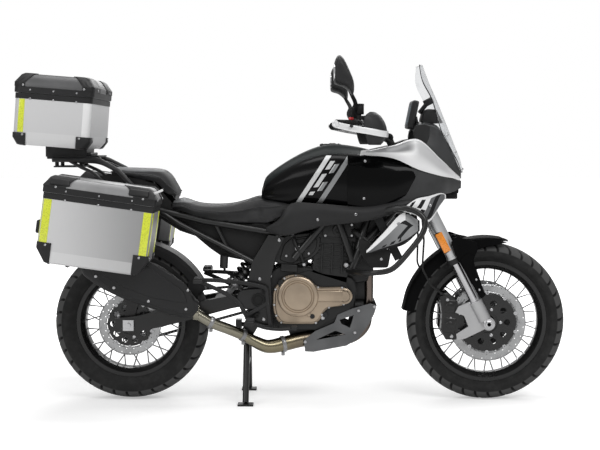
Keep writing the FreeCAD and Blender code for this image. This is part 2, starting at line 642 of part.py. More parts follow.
def engine():
    """Crankcase, forward-leaning cylinders and head as one block, with cooling and cover steps."""
    case = prism([(-84, 372), (-66, 470), (-30, 520), (60, 548), (214, 500), (236, 440), (228, 384),
                  (120, 330), (90, 306),
                  (-56, 306)], -118, 118)
    cylinders = prism([(70, 500), (96, 700), (238, 672), (214, 490)], -108, 108)
    head = prism([(90, 690), (100, 756), (150, 776), (250, 748), (252, 668)], -116, 116)
    gearbox = prism([(-84, 372), (-86, 470), (-40, 520), (0, 500), (0, 372)], -104, 78)
    sump = prism([(-30, 308), (-10, 262), (110, 262), (150, 338)], -80, 80)
    fins = [prism([(88 + 3 * i, 560 + 26 * i), (98 + 3 * i, 560 + 26 * i), (99 + 3 * i, 566 + 26 * i),
                   (89 + 3 * i, 566 + 26 * i)],
                  -114, 114) for i in range(4)]
    return fuse(case, cylinders, head, gearbox, sump, *fins)


def round_cover(side, points, steps):
    """A cast cover: its outline as a plate, with stepped round bosses outwards."""
    base = 118.0 + SEAT_GAP
    y0, y1 = side * base, side * (base + 22)
    shapes = [prism(points, min(y0, y1), max(y0, y1))]
    for x, z, r, out in steps:
        y2 = side * (base + out)
        shapes.append(disc(Vector(x, 0, z), min(y0, y2), max(y0, y2), r))
    return fuse(*shapes)


def engine_covers():
    """The bronze clutch cover on the right and generator cover on the left."""
    clutch = round_cover(-1, [(-88, 380), (-88, 470), (-40, 530), (30, 536), (96, 482), (212, 484),
                              (234, 446), (212, 408),
                              (132, 396), (96, 330), (-62, 330)],
                         [(16, 446, 84, 30), (16, 446, 62, 48), (206, 446, 36, 30)])
    generator = round_cover(1, [(40, 372), (40, 500), (140, 524), (216, 488), (234, 440), (204, 372),
                                (120, 336)],
                            [(138, 438, 70, 34), (138, 438, 46, 50)])
    return group(clutch, generator)


def radiator():
    """The radiator across the down tubes, with a tank at each end."""
    core = in_fork(block((-222, -196), (-150, 150), (420, 640)))
    tanks = [in_fork(block((-226, -192), span, (412, 648))) for span in ((-168, -150), (150, 168))]
    return fuse(core, *tanks)


def exhaust_pipe():
    """Two headers down the engine's front into one pipe that runs back under it to the silencer."""
    headers = [tube([(248, side * 52, 700), (296, side * 52, 668), (316, side * 50, 520),
                     (318, side * 44, 380), (270, side * 30, 262),
                     (150, -30 + side * 21, 238), (60, -56 + side * 20, 236)], 19.0,
                     60.0) for side in (-1, 1)]
    collector = loft([[Vector(72, -100, 214), Vector(72, -14, 214), Vector(72, -14, 258),
                       Vector(72, -100, 258)],
                      [Vector(-20, -130, 210), Vector(-20, -60, 210), Vector(-20, -60, 256),
                       Vector(-20, -130, 256)],
                      [Vector(-120, -150, 222), Vector(-120, -100, 222), Vector(-120, -100, 262),
                       Vector(-120, -150, 262)]])
    tail = tube([(-112, -125, 242), (-200, -140, 276), (-262, -164, 322), (-330, -186, 344),
                 (-400, -200, 384)], 22.0, 60.0)
    return fuse(*headers, collector, tail)


SILENCER_IN, SILENCER_OUT = 152.0, 252.0


def silencer():
    """The faceted can that rises to the rear, under the right-hand case."""
    mid = (SILENCER_IN + SILENCER_OUT) / 2
    # x, z of the floor, z of the roof, half width
    table = [(-384, 372, 430, 26), (-440, 368, 500, 46), (-560, 402, 586, 50), (-700, 452, 622, 50),
             (-850, 548, 622, 40)]
    sections = []
    for x, low, high, half in table:
        cham = 0.3 * (high - low)
        sections.append([Vector(x, -mid - half, low + cham), Vector(x, -mid - half, high - cham),
                         Vector(x, -mid - half * 0.6, high),
                         Vector(x, -mid + half * 0.6, high), Vector(x, -mid + half, high - cham),
                         Vector(x, -mid + half, low + cham),
                         Vector(x, -mid + half * 0.6, low), Vector(x, -mid - half * 0.6, low)])
    return loft(sections)


def skid_plate():
    """The bent aluminium plate under the engine: a belly and two pierced sides."""
    side_outline = [(40, 262), (87, 300), (166, 334), (179, 368), (241, 394), (312, 414), (340, 407),
                    (330, 372), (306, 326),
                    (262, 268), (216, 240), (79, 214), (46, 216)]
    holes = [[(187, 347), (246, 366), (230, 314), (195, 330)], [(86, 262), (170, 302), (214, 286)]]
    right = cut(prism(side_outline, -124, -119), *[prism(hole, -130, -110) for hole in holes])
    belly_line = [(46, 216), (79, 214), (216, 240), (262, 268), (306, 326), (330, 372), (340, 407)]
    inner = [(x - 5 * math.sin(0.4), z + 5) for x, z in belly_line]
    belly = prism(belly_line + inner[::-1], -119, 119)
    return fuse(right, mirror(right), belly)


def shock_absorber():
    """The single shock behind the gearbox: a damper rod in a coil of one spring."""
    foot, top = Vector(-272, 0, 450), Vector(-116, 0, 646)
    along = (top - foot).normalize()
    body = fuse(rod(foot, top, 11.0), rod(foot + along * 120, top, 20.0),
                rod(foot + Vector(0, -24, 0), foot + Vector(0, 24, 0), 14.0),
                rod(top + Vector(0, -24, 0), top + Vector(0, 24, 0), 14.0))
    coils = [Part.makeTorus(34.0, 6.5, foot + along * (36 + 22 * i), along) for i in range(8)]
    seats = [rod(foot + along * 22, foot + along * 32, 42.0),
             rod(foot + along * 198, foot + along * 208, 42.0)]
    guides = [rod(foot + along * 24 + Vector(0, 34 * s, 0), foot + along * 206 + Vector(0, 34 * s, 0), 4.0)
              for s in (-1, 1)]
    return fuse(body, *coils, *seats, *guides)


def rear_hugger():
    """The short mudguard over the front of the rear tyre, standing on the swingarm."""
    band = arc_band(REAR_AXLE, REAR_TYRE_R + 22, 4.0, 84.0, 40.0, -66.0, -6.0)
    feet = [prism([(-430, 384), (-400, 388), (-396, 500), (-440, 500)], *sorted((s * 80, s * 84)))
            for s in (-1, 1)]
    studs = [rod((-416, s * 81, 394), (-416, s * 106, 394), 5.0) for s in (-1, 1)]
    return cut(fuse(band, *feet, *studs), swingarm())


def chassis_nodes():
    frame, arm = main_frame(), swingarm()
    engine_block = cut(engine(), frame)
    return {
        "main_frame": frame,
        "subframe": cut(subframe(), frame),
        "engine": engine_block,
        "engine_covers": cut(engine_covers(), frame),
        "swingarm": cut(arm, frame),
        "rear_axle": rear_axle(),
        "rear_caliper": rear_caliper(),
        "chain": cut(chain(), frame, engine_block),
        "radiator": cut(radiator(), frame, exhaust_pipe()),
        "exhaust_pipe": cut(exhaust_pipe(), frame, engine_block, silencer()),
        "silencer": silencer(),
        "skid_plate": cut(skid_plate(), engine_block, engine_covers(), exhaust_pipe()),
        "shock_absorber": cut(shock_absorber(), frame, arm),
        "rear_hugger": rear_hugger(),
    }


# ---------------------------------------------------------------- tank, seats and bodywork
# fuel tank: x, top z, bottom z, half width at the top, greatest half width, its z, half width at the foot
TANK = [(-134, 884, 853, 44, 78, 866, 74), (-110, 938, 850, 60, 104, 884, 98),
        (-17, 1004, 842, 70, 146, 918, 128),
        (78, 1050, 832, 84, 174, 936, 150), (160, 1067, 824, 86, 190, 944, 164),
        (262, 1056, 818, 84, 196, 944, 178),
        (340, 1036, 826, 70, 190, 940, 176)]
TUNNEL_HALF = 60.0


def tank_section(x, top, foot, top_half, half, middle, foot_half):
    """Ten points round the tank at one station, its shoulders between top and greatest width."""
    shoulder = (half * 0.86, top - 0.28 * (top - middle))
    right = [(top_half, top), shoulder, (half, middle), (half * 0.99, (middle + foot) / 2),
             (foot_half, foot)]
    return [Vector(x, -y, z) for y, z in right] + [Vector(x, y, z) for y, z in reversed(right)]


def fuel_tank():
    """The tank over the frame, with its filler cap."""
    shell = loft([tank_section(*row) for row in TANK])
    cap = Part.makeCylinder(34.0, 12.0, Vector(150, 0, 1058), Z)
    return fuse(shell, cap)


# right-hand panels: x, then (reach, z) at the top, middle and foot
SHROUD = [(216, (178, 1030), (205, 930), (190, 824)), (300, (184, 1020), (212, 924), (200, 820)),
          (400, (186, 1008), (216, 930), (206, 846)), (470, (184, 994), (212, 950), (205, 906)),
          (492, (182, 976), (208, 960), (206, 945))]
UPPER_FAIRING = [(290, (180, 1036), (192, 1032), (196, 1026)), (400, (172, 1061), (206, 1034), (214, 1012)),
                 (500, (162, 1086), (200, 1040), (214, 968)), (590, (140, 1010), (170, 975), (186, 942)),
                 (682, (60, 934), (76, 926), (84, 914))]
NOSE_SIDE = [(492, (213, 962), (213, 900), (203, 844)), (590, (186, 938), (178, 900), (160, 860)),
             (640, (130, 922), (126, 894), (110, 868)), (684, (84, 910), (82, 900), (78, 890))]
SIDE_COVER = [(-114, (150, 726), (152, 722), (150, 718)), (-60, (172, 762), (178, 730), (168, 701)),
              (-10, (180, 826), (190, 765), (172, 704)), (100, (190, 826), (200, 780), (184, 736)),
              (280, (200, 814), (212, 786), (204, 758)), (420, (206, 838), (216, 818), (208, 798)),
              (490, (204, 843), (206, 842), (204, 840))]
UPPER_WING = [(440, (226, 812), (228, 806), (226, 800)), (490, (222, 846), (232, 812), (228, 784)),
              (540, (196, 856), (214, 800), (216, 756)), (592, (166, 868), (176, 845), (182, 822)),
              (616, (150, 862), (152, 857), (154, 852))]
LOWER_WING = [(291, (240, 640), (242, 634), (240, 630)), (360, (236, 712), (246, 680), (240, 648)),
              (440, (228, 792), (242, 730), (236, 668)), (505, (218, 762), (224, 740), (226, 722))]


def body_panels():
    """The shells down each side, each from its own table, clear of the one above it."""
    shroud = fuse(side_panel(SHROUD, 5.0), *[rod((x, -180, z), (x, -y, z), 7.0) for x, y,
                                             z in ((240, 205, 930), (320, 212, 920))])
    fairing = side_panel(UPPER_FAIRING, 5.0)
    nose = side_panel(NOSE_SIDE, 5.0)
    cover = side_panel(SIDE_COVER, 8.0)
    upper, lower = side_panel(UPPER_WING, 4.0), side_panel(LOWER_WING, 4.0)
    bracket = prism([(262, 690), (265, 632), (307, 571), (380, 571), (392, 640)], -216, -211)
    lower = fuse(lower, rod((356, -208, 654), (356, -243, 662), 7.0))
    bracket = fuse(bracket, rod((318, -214, 664), (292, -122, 672), 8.0))
    upper = fuse(upper, rod((560, -160, 838), (560, -212, 824), 6.0),
                 rod((470, -238, 806), (470, -222, 800), 6.0))
    return shroud, fairing, nose, cover, upper, lower, bracket


def nose_cowl():
    """The front cowl between the fairings, carrying the lamps, screen and dash."""
    sections = [[Vector(612, -118, 872), Vector(612, 118, 872), Vector(606, 112, 990),
                 Vector(606, -112, 990)],
                [Vector(660, -84, 872), Vector(660, 84, 872), Vector(664, 78, 946), Vector(664, -78, 946)]]
    return loft(sections)


def lamps():
    """Head lamp lenses in the cowl's face and the tail lamp under the rack."""
    lens = loft([[Vector(652, -76, 880), Vector(652, -12, 880), Vector(652, -12, 900),
                  Vector(652, -76, 906)],
                 [Vector(674, -70, 884), Vector(674, -16, 884), Vector(674, -16, 896),
                  Vector(674, -70, 900)]])
    tail = block((-876, -856), (-60, 60), (862, 890))
    return group(pair(lens), tail)


# windscreen: z, x at the centre, x at the edge, half width
SCREEN = [(950, 700, 690, 60), (1000, 688, 664, 122), (1126, 638, 592, 176), (1242, 590, 556, 180),
          (1320, 556, 519, 156),
          (1392, 530, 512, 70)]
SCREEN_T = 4.0


def windscreen():
    """A clear screen: level arcs from edge to edge, as thick as SCREEN_T."""
    wires = []
    for z, x_mid, x_edge, half in SCREEN:
        ends = [Vector(x_edge, -half, z), Vector(x_edge, half, z)]
        back = [p - Vector(SCREEN_T, 0, 0) for p in ends]
        wires.append(Part.Wire([
            Part.Arc(ends[0], Vector(x_mid, 0, z), ends[1]).toShape(),
            Part.LineSegment(ends[1], back[1]).toShape(),
            Part.Arc(back[1], Vector(x_mid - SCREEN_T, 0, z), back[0]).toShape(),
            Part.LineSegment(back[0], ends[0]).toShape(),
        ]))
    return Part.makeLoft(wires, True, True)


def dashboard():
    """The display and the stay that carries it and the screen above the cowl."""
    display = prism([(467, 1132), (503, 1132), (535, 1240), (503, 1248)], -92, 92)
    arm = prism([(500, 1160), (531, 1159), (600, 1150), (640, 1104), (652, 990), (606, 990), (596, 1080),
                 (560, 1120), (505, 1128)],
                -60, 60)
    inner = [prism([(486, 1096), (525, 1150), (571, 1150), (600, 1100), (640, 1000), (606, 996),
                    (500, 1080)], *span)
             for span in ((-118, -112), (112, 118))]
    ties = [rod((600, -114, 1040), (600, 114, 1040), 8.0)]
    return fuse(display, arm, *inner, *ties)


RIDER_SEAT = [(-504, 842, 800, 118, 96), (-460, 844, 790, 136, 118), (-400, 824, 764, 140, 124),
              (-330, 818, 752, 138, 124),
              (-258, 820, 744, 128, 120), (-200, 832, 742, 112, 118), (-150, 848, 742, 92, 112)]


def seat_loft(table):
    """A seat pad. table: x, top z, foot z, half width at the top, half width at the foot."""
    return loft([[Vector(x, -foot_half, foot), Vector(x, -top_half - 8, (top + foot) / 2),
                  Vector(x, -top_half, top - 12),
                  Vector(x, -top_half + 26, top), Vector(x, top_half - 26, top),
                  Vector(x, top_half, top - 12),
                  Vector(x, top_half + 8, (top + foot) / 2), Vector(x, foot_half, foot)]
                 for x, top, foot, top_half, foot_half in table])


PILLION_SEAT = [(-754, 972, 940, 96, 80), (-640, 968, 926, 122, 108), (-560, 964, 908, 130, 120),
                (-520, 946, 862, 128, 120),
                (-480, 884, 850, 118, 112)]


def seats():
    rider = seat_loft(RIDER_SEAT)
    nose = loft([[Vector(-150, y, z) for y, z in ((-112, 742), (-106, 846), (106, 846), (112, 742))],
                 [Vector(-90, y, z) for y, z in ((-124, 748), (-118, 846), (118, 846), (124, 748))],
                 [Vector(-10, y, z) for y, z in ((-146, 800), (-140, 826), (140, 826), (146, 800))]])
    return fuse(rider, nose), seat_loft(PILLION_SEAT)


def tail_unit():
    """The tail under the seats: side covers, a tray over the rear wheel and the plate holder."""
    side = prism([(-504, 828), (-470, 786), (-386, 752), (-130, 736), (-104, 700), (-176, 584),
                  (-303, 610), (-346, 640), (-405, 690),
                  (-470, 712), (-560, 770), (-620, 850), (-660, 925), (-566, 905), (-530, 860)], -101, -95)
    tray = prism([(-500, 740), (-500, 764), (-566, 868), (-604, 916), (-640, 934), (-760, 946),
                  (-860, 920), (-860, 856),
                  (-760, 846), (-640, 800)], -100, 100)
    holder = prism([(-840, 860), (-856, 862), (-930, 700), (-950, 560), (-940, 556), (-916, 700)], -70, 70)
    return side, tray, holder


def crash_bars():
    """A guard tube each side: from the engine's front round the wing and back under the tank."""
    route = [(222, -140, 552), (250, -200, 553), (300, -272, 556), (366, -286, 562), (461, -286, 650),
             (522, -276, 742),
             (516, -266, 782), (450, -252, 812), (380, -226, 806), (312, -150, 776)]
    right = tube(route, 12.5, 40.0)
    return pair(right)


def footrests():
    """Cast hangers with a rider's peg, a passenger's peg and the pedal or lever on each side."""
    hanger = prism([(-390, 530), (-386, 506), (-250, 440), (-204, 360), (-150, 318), (-94, 316),
                    (-88, 330), (-108, 430), (-112, 480),
                    (-150, 500), (-260, 510)], -176, -160)
    windows = [prism([(-350, 504), (-240, 492), (-226, 462), (-250, 456)], -180, -156),
               prism([(-130, 400), (-112, 350), (-180, 372)], -180, -156)]
    hanger = cut(hanger, *windows)
    cap = disc(Vector(PIVOT_X, 0, PIVOT_Z), -176, -146 - SEAT_GAP, 30.0)
    stays = [rod((-176, -164, 350), (-176, -300, 350), 12.0),
             rod((-382, -170, 518), (-382, -286, 518), 10.0)]
    pads = [block((-198, -154), (-296, -200), (350, 364)), block((-402, -362), (-282, -196), (516, 528))]
    pedal = tube([(-176, -190, 341), (-120, -196, 318), (-20, -204, 322), (0, -230, 326)], 7.0, 20.0)
    spacers = [rod((x, -165, z), (x, -146 - SEAT_GAP, z), 9.0) for x, z in ((-150, 350), (-120, 470))]
    return pair(fuse(hanger, cap, *stays, *pads, pedal, *spacers))


def body_nodes(frame_parts):
    frame, rails = frame_parts["main_frame"], frame_parts["subframe"]
    engine_block, core = frame_parts["engine"], frame_parts["radiator"]
    shroud, fairing, nose, cover, upper, lower, bracket = body_panels()
    tank = cut(fuel_tank(), frame)
    rider, pillion = seats()
    rider = cut(rider, frame, rails, tank)
    side, tray, holder = tail_unit()
    tail = fuse(*[cut(piece, frame, rails, rider, pillion) for piece in (side, mirror(side), tray, holder)])
    shroud = cut(shroud, tank)
    fairing = cut(fairing, shroud, tank)
    nose = cut(nose, fairing, shroud)
    bars = crash_bars()
    cover = cut(cover, shroud, tank, nose, frame, rider, bars)
    upper = cut(upper, nose, cover, bars, fairing)
    lower = cut(lower, bars, upper, cover, bracket)
    steering_room = in_fork(Part.makeCylinder(FORK_SPREAD + CLAMP_R + STEERING_GAP, 300, Vector(STEER_AHEAD, 0, 520),
                                              Z))
    cowl = cut(nose_cowl(), steering_room, frame, pair(nose), pair(fairing))
    dash = cut(dashboard(), cowl, windscreen())
    return {
        "fuel_tank": tank,
        "rider_seat": rider,
        "pillion_seat": cut(pillion, rider, rails),
        "tail_unit": tail,
        "tank_shrouds": pair(shroud),
        "upper_fairings": pair(fairing),
        "nose_cowl": fuse(cowl, pair(nose)),
        "side_covers": pair(cover),
        "wings": pair(fuse(upper, lower, cut(bracket, bars, frame, core))),
        "lamps": cut(lamps(), cowl, tail),
        "windscreen": cut(windscreen(), cowl, pair(fairing)),
        "dashboard": dash,
        "crash_bars": cut(bars, frame, engine_block, core),
        "footrests": cut(footrests(), frame, frame_parts["exhaust_pipe"]),
    }


# ---------------------------------------------------------------- luggage
def plan_outline(x, y, corner, z):
    """Eight points of a rectangle in plan with its corners cut off."""
    (x0, x1), (y0, y1) = x, y
    return [Vector(px, py, z) for px, py in ((x0 + corner, y0), (x1 - corner, y0), (x1, y0 + corner),
                                             (x1, y1 - corner),
                                             (x1 - corner, y1), (x0 + corner, y1), (x0, y1 - corner),
                                             (x0, y0 + corner))]


def case_solid(x, y, z, bevel, corner):
    """A case's outside: its upright edges cut off by corner, its lower end edges by bevel (along, up)."""
    along, up = bevel
    side = prism([(x[0], z[1]), (x[0], z[0] + up), (x[0] + along, z[0]), (x[1] - along, z[0]),
                  (x[1], z[0] + up), (x[1], z[1])],
                 y[0], y[1])
    return side.common(Part.Face(polygon(plan_outline(x, y, corner, z[0] - 1))).extrude(Vector(0, 0,
                                                                                               z[1] - z[0] + 2)))


def grown(span, by):
    """A (low, high) span moved out by by at both ends."""
    return (span[0] - by, span[1] + by)


def lid_shell(x, y, z, corner, rim, taper, inset):
    """The outside of a lid, or its inside when inset: a rim, then a roof drawn in by taper (along, across)."""
    low = z[0] if inset == 0 else z[0] - 1
    wide = (grown(x, -inset), grown(y, -inset))
    roof = (grown(x, -inset - taper[0]), grown(y, -inset - taper[1]))
    return loft([plan_outline(*wide, corner, low), plan_outline(*wide, corner, z[0] + rim),
                 plan_outline(*roof, corner, z[1] - inset)])


# luggage cases before they are tilted, x and z from the hinge pin: length, depth, roof, bevel, corner, rim, taper
PANNIER = {"pivot": (-523.0, 827.0), "x": (-430.0, -7.0), "floor": -269.0, "roof": 67.0,
           "bevel": (56.0, 42.0),
           "corner": 10.0, "rim": 32.0, "taper": (34.0, 20.0), "tilt": PANNIER_TILT}
TOP_BOX = {"pivot": (-794.4, 1250.0), "x": (-316.0, -7.0), "floor": -206.0, "roof": 80.0,
           "bevel": (30.0, 30.0),
           "corner": 34.0, "rim": 42.0, "taper": (34.0, 34.0), "tilt": TOP_BOX_TILT}
HINGE_R = 6.0
GUARD_T, GUARD_SIZE = 6.0, 62.0


def case(spec, y, hinge_half):
    """A luggage case: open tray, lid and corner guards, with a hinge across its front at the seam."""
    px, seam = spec["pivot"]
    pivot = Vector(px, 0, seam)
    x = (px + spec["x"][0], px + spec["x"][1])
    floor, roof, corner = seam + spec["floor"], seam + spec["roof"], spec["corner"]
    outside = case_solid(x, y, (floor, seam), spec["bevel"], corner)
    room = case_solid(grown(x, -BOX_WALL), grown(y, -BOX_WALL), (floor + BOX_WALL, seam + 5),
                      spec["bevel"], corner - 1)
    lid_span = ((x[0] - 4, x[1]), grown(y, 4), (seam + SEAT_GAP, roof))
    lid = lid_shell(*lid_span, corner + 2, spec["rim"], spec["taper"], 0).cut(
        lid_shell(*lid_span, corner, spec["rim"], spec["taper"], 4.0))
    middle = (y[0] + y[1]) / 2

    def across(half, radius):
        """A bar on the hinge line."""
        return rod((px, middle - half, seam), (px, middle + half, seam), radius)
    third = hinge_half / 3
    tray_leaf = block((x[1] - 1, px), (middle - hinge_half, middle + hinge_half),
                      (seam - 18, seam - HINGE_R + 2))
    lid_leaf = block((x[1] - 2, px), (middle - third, middle + third), (seam + 1, seam + 16))
    knuckles = fuse(cut(fuse(across(hinge_half, HINGE_R), tray_leaf), across(third + 1, HINGE_R + 2)),
                    across(hinge_half, 2.5))
    bush = cut(fuse(across(third, HINGE_R), lid_leaf), across(hinge_half, 2.5 + PIN_GAP))
    tray = fuse(outside.cut(room), knuckles)
    swing = across(hinge_half + 2, HINGE_R + 1.5)
    lid = fuse(cut(lid, swing), cut(bush, knuckles))
    coat = case_solid(grown(x, GUARD_T), grown(y, GUARD_T), (floor - GUARD_T, seam), spec["bevel"],
                      corner + 2).cut(outside)
    ends = [block(xs, ys, (floor - 20, floor + GUARD_SIZE))
            for xs in ((x[0] - 20, x[0] + GUARD_SIZE), (x[1] - GUARD_SIZE, x[1] + 20))
            for ys in ((y[0] - 20, y[0] + GUARD_SIZE), (y[1] - GUARD_SIZE, y[1] + 20))]
    guards = group(*[coat.common(end) for end in ends])
    return [tilted(shape, pivot, spec["tilt"]) for shape in (tray, lid, guards)]


def luggage_rack():
    """The top plate on two tubes from the tail, and a hoop each side that carries a case."""
    plate = fuse(block((-1000, -800), (-100, 100), (1014, 1020)),
                 block((-990, -870), (-80, 80), (972, 978)))
    posts = [rod((x, side * 60, 976), (x, side * 60, 1016), 8.0) for x in (-980, -880) for side in (-1, 1)]
    arms = [tube([(-990, side * 104, 1004), (-800, side * 112, 1004), (-720, side * 134, 962),
                  (-650, side * 138, 890),
                  (-600, side * 124, 826)], 10.0, 50.0) for side in (-1, 1)]
    ties = [rod((-940, -104, 1004), (-940, 104, 1004), 8.0),
            rod((-830, -110, 1004), (-830, 110, 1004), 8.0)]
    hoops = []
    for side in (-1, 1):
        reach = side * (PANNIER_IN - GUARD_T - SEAT_GAP - 9.0)
        hoops.append(tube([(-596, side * 124, 812), (-596, reach, 806), (-860, reach, 852),
                           (-880, reach, 664),
                           (-610, reach, 626), (-590, reach, 780)], 9.0, 30.0))
    px, seam = TOP_BOX["pivot"]
    floor = seam + TOP_BOX["floor"]
    wedge = tilted(block((px - 240, px - 40), (-90, 90), (floor - 60, floor - SEAT_GAP)),
                   Vector(px, 0, seam), TOP_BOX_TILT)
    wedge = wedge.common(block((-1020, -780), (-95, 95), (1016, 1100)))
    return fuse(plate, wedge), posts, arms, ties, hoops


def luggage_nodes(rails, tail):
    right = case(PANNIER, (-PANNIER_OUT, -PANNIER_IN), 60.0)
    top = case(TOP_BOX, (-TOP_BOX_HALF, TOP_BOX_HALF), 110.0)
    plate, posts, arms, ties, hoops = luggage_rack()
    guards = group(right[2], mirror(right[2]), top[2])
    trays = (right[0], mirror(right[0]), top[0])
    rack = cut(fuse(plate, *posts, *arms, *ties, *hoops), rails, tail, guards, *trays)
    return {
        "pannier_right": right[0],
        "pannier_left": mirror(right[0]),
        "pannier_lid_right": right[1],
        "pannier_lid_left": mirror(right[1]),
        "top_box": top[0],
        "top_box_lid": top[1],
        "case_guards": guards,
        "luggage_rack": rack,
    }


# ---------------------------------------------------------------- stands
def centre_stand():
    """The centre stand, feet on the floor: two legs on one pivot tube, splayed to broad feet."""
    pivot = rod((STAND_PIVOT_X, -96, STAND_PIVOT_Z), (STAND_PIVOT_X, 96, STAND_PIVOT_Z), 15.0)
    bore = rod((STAND_PIVOT_X, -97, STAND_PIVOT_Z), (STAND_PIVOT_X, 97, STAND_PIVOT_Z), 9.0 + PIN_GAP)
    legs, feet = [], []
    for side in (-1, 1):
        legs.append(rod((STAND_PIVOT_X, side * 70, STAND_PIVOT_Z),
                        (STAND_PIVOT_X - 2, side * STAND_FOOT_Y, 12), 13.0))
        y0, y1 = sorted((side * (STAND_FOOT_Y - 22), side * (STAND_FOOT_Y + 26)))
        feet.append(block((STAND_PIVOT_X - 34, STAND_PIVOT_X + 30), (y0, y1), (0, 8)))
    tie = rod((STAND_PIVOT_X - 1, -112, 150), (STAND_PIVOT_X - 1, 112, 150), 10.0)
    floor = block((STAND_PIVOT_X - 90, STAND_PIVOT_X + 90), (-260, 260), (-60, 0))
    return cut(fuse(pivot, *legs, *feet, tie), bore, floor)


def side_stand():
    """The side stand folded back along the left side, on a bolt that leans so that it swings out."""
    pivot = Vector(SIDE_STAND_X, SIDE_STAND_Y, SIDE_STAND_Z)
    axis = Vector(0, math.cos(math.radians(SIDE_STAND_TILT)), math.sin(math.radians(SIDE_STAND_TILT)))
    eye = rod(pivot - axis * 9, pivot + axis * 9, 17.0)
    arm = rod(pivot + Vector(-8, 0, 0), pivot + Vector(-206, 0, 0), 10.0)
    foot = block((pivot.x - 226, pivot.x - 200), (pivot.y - 24, pivot.y + 26), (pivot.z - 22, pivot.z + 22))
    return fuse(eye, arm, foot).cut(rod(pivot - axis * 20, pivot + axis * 20, 7.0 + PIN_GAP))


def stand_brackets():
    """What carries the stands: a pin under the frame plates and a bolt on the left."""
    pin = rod((STAND_PIVOT_X, -112, STAND_PIVOT_Z), (STAND_PIVOT_X, 112, STAND_PIVOT_Z), 9.0)
    ears = [prism([(STAND_PIVOT_X - 20, STAND_PIVOT_Z - 18), (STAND_PIVOT_X + 22, STAND_PIVOT_Z - 18),
                   (-140, 330), (-150, 352),
                   (-190, 352), (STAND_PIVOT_X - 20, STAND_PIVOT_Z + 12)],
                   *sorted((side * 101.5, side * 109.5))) for side in (-1, 1)]
    pivot = Vector(SIDE_STAND_X, SIDE_STAND_Y, SIDE_STAND_Z)
    axis = Vector(0, math.cos(math.radians(SIDE_STAND_TILT)), math.sin(math.radians(SIDE_STAND_TILT)))
    bolt = rod(pivot - axis * 40, pivot + axis * 12, 7.0)
    arm = tube([pivot - axis * 34, (SIDE_STAND_X - 20, 130, 310), (-112, 126, 340)], 11.0, 20.0)
    return fuse(pin, *ears), fuse(bolt, arm)


def save(nodes):
    """One STEP file per node."""
    os.makedirs("parts", exist_ok=True)
    for name, shape in sorted(nodes.items()):
        solids = shape.Solids
        bad = [s for s in solids if not s.isValid() or s.Volume <= 0]
        box = shape.BoundBox
        print(f"{name}: {len(solids)} solids, {len(bad)} bad, {shape.Volume / 1e3:.1f} cm3, "
              f"x {box.XMin:.0f}..{box.XMax:.0f} y {box.YMin:.0f}..{box.YMax:.0f} z {box.ZMin:.0f}..{box.ZMax:.0f}")
        out = solids[0] if len(solids) == 1 else Part.makeCompound(solids)
        out.exportStep(f"parts/{name}.step")


def main():
    nodes = chassis_nodes()
    pin, bolt = stand_brackets()
    nodes["main_frame"] = fuse(nodes["main_frame"], pin, bolt)
    nodes["engine"] = cut(nodes["engine"], bolt)
    nodes.update(body_nodes(nodes))
    nodes.update(luggage_nodes(nodes["subframe"], nodes["tail_unit"]))
    nodes.update(steering_nodes())
    nodes.update(wheel_nodes())
    nodes["centre_stand"] = centre_stand()
    nodes["side_stand"] = side_stand()
    save(nodes)


main()
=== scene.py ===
"""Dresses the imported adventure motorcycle: wheels, fork, bodywork, engine, luggage and a pale studio.

Sizes are in millimetres unless a name ends in _m; meshes are written in metres.
"""
import math

import bmesh
import bpy
import numpy as np
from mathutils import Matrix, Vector


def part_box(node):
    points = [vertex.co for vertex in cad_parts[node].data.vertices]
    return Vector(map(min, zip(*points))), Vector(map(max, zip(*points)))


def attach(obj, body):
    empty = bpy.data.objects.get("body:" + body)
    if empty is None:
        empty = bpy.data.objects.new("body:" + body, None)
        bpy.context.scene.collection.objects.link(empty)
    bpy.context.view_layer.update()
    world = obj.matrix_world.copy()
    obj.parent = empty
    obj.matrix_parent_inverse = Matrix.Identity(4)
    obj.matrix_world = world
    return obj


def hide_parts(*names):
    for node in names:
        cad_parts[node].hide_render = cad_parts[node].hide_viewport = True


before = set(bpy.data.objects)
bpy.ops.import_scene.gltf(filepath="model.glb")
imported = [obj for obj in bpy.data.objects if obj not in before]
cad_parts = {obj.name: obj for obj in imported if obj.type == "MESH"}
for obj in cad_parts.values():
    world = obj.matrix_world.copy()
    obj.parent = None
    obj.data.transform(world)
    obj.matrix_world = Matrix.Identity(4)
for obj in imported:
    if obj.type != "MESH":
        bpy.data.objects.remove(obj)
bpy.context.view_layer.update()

bl_info = {
    "name": "Adventure motorcycle",
    "version": (1, 0, 0),
    "blender": (4, 5, 0),
    "location": "View3D > Sidebar > Motorcycle",
    "description": "Builds the visible pieces and finishes of a touring adventure motorcycle",
    "category": "Add Mesh",
}

MM = 0.001
CHASSIS, FORK = "chassis", "fork"
FRONT_SET, REAR_SET = "front_wheel_set", "rear_wheel_set"
RIGHT, LEFT = -1, 1
BOTH = (RIGHT, LEFT)


def at(x, y, z):
    """A point, or a direction, as an array."""
    return np.array((x, y, z), float)


def node_centre(node):
    """Middle of a CAD node's box, in millimetres."""
    low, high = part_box(node)
    return (np.array(low) + np.array(high)) / 2 / MM


FRONT_AXLE = node_centre("front_tyre")
REAR_AXLE = node_centre("rear_tyre")
RAKE = math.radians(27.0)
FORK_SPREAD = 105.0
DISC_T = 5.0
LEG_AHEAD = -6.0
X, Y, Z = np.eye(3)
FORK_UP = at(-math.sin(RAKE), 0, math.cos(RAKE))
FORK_AHEAD = at(math.cos(RAKE), 0, math.sin(RAKE))
FORK_AXES = (FORK_AHEAD, Y, FORK_UP)

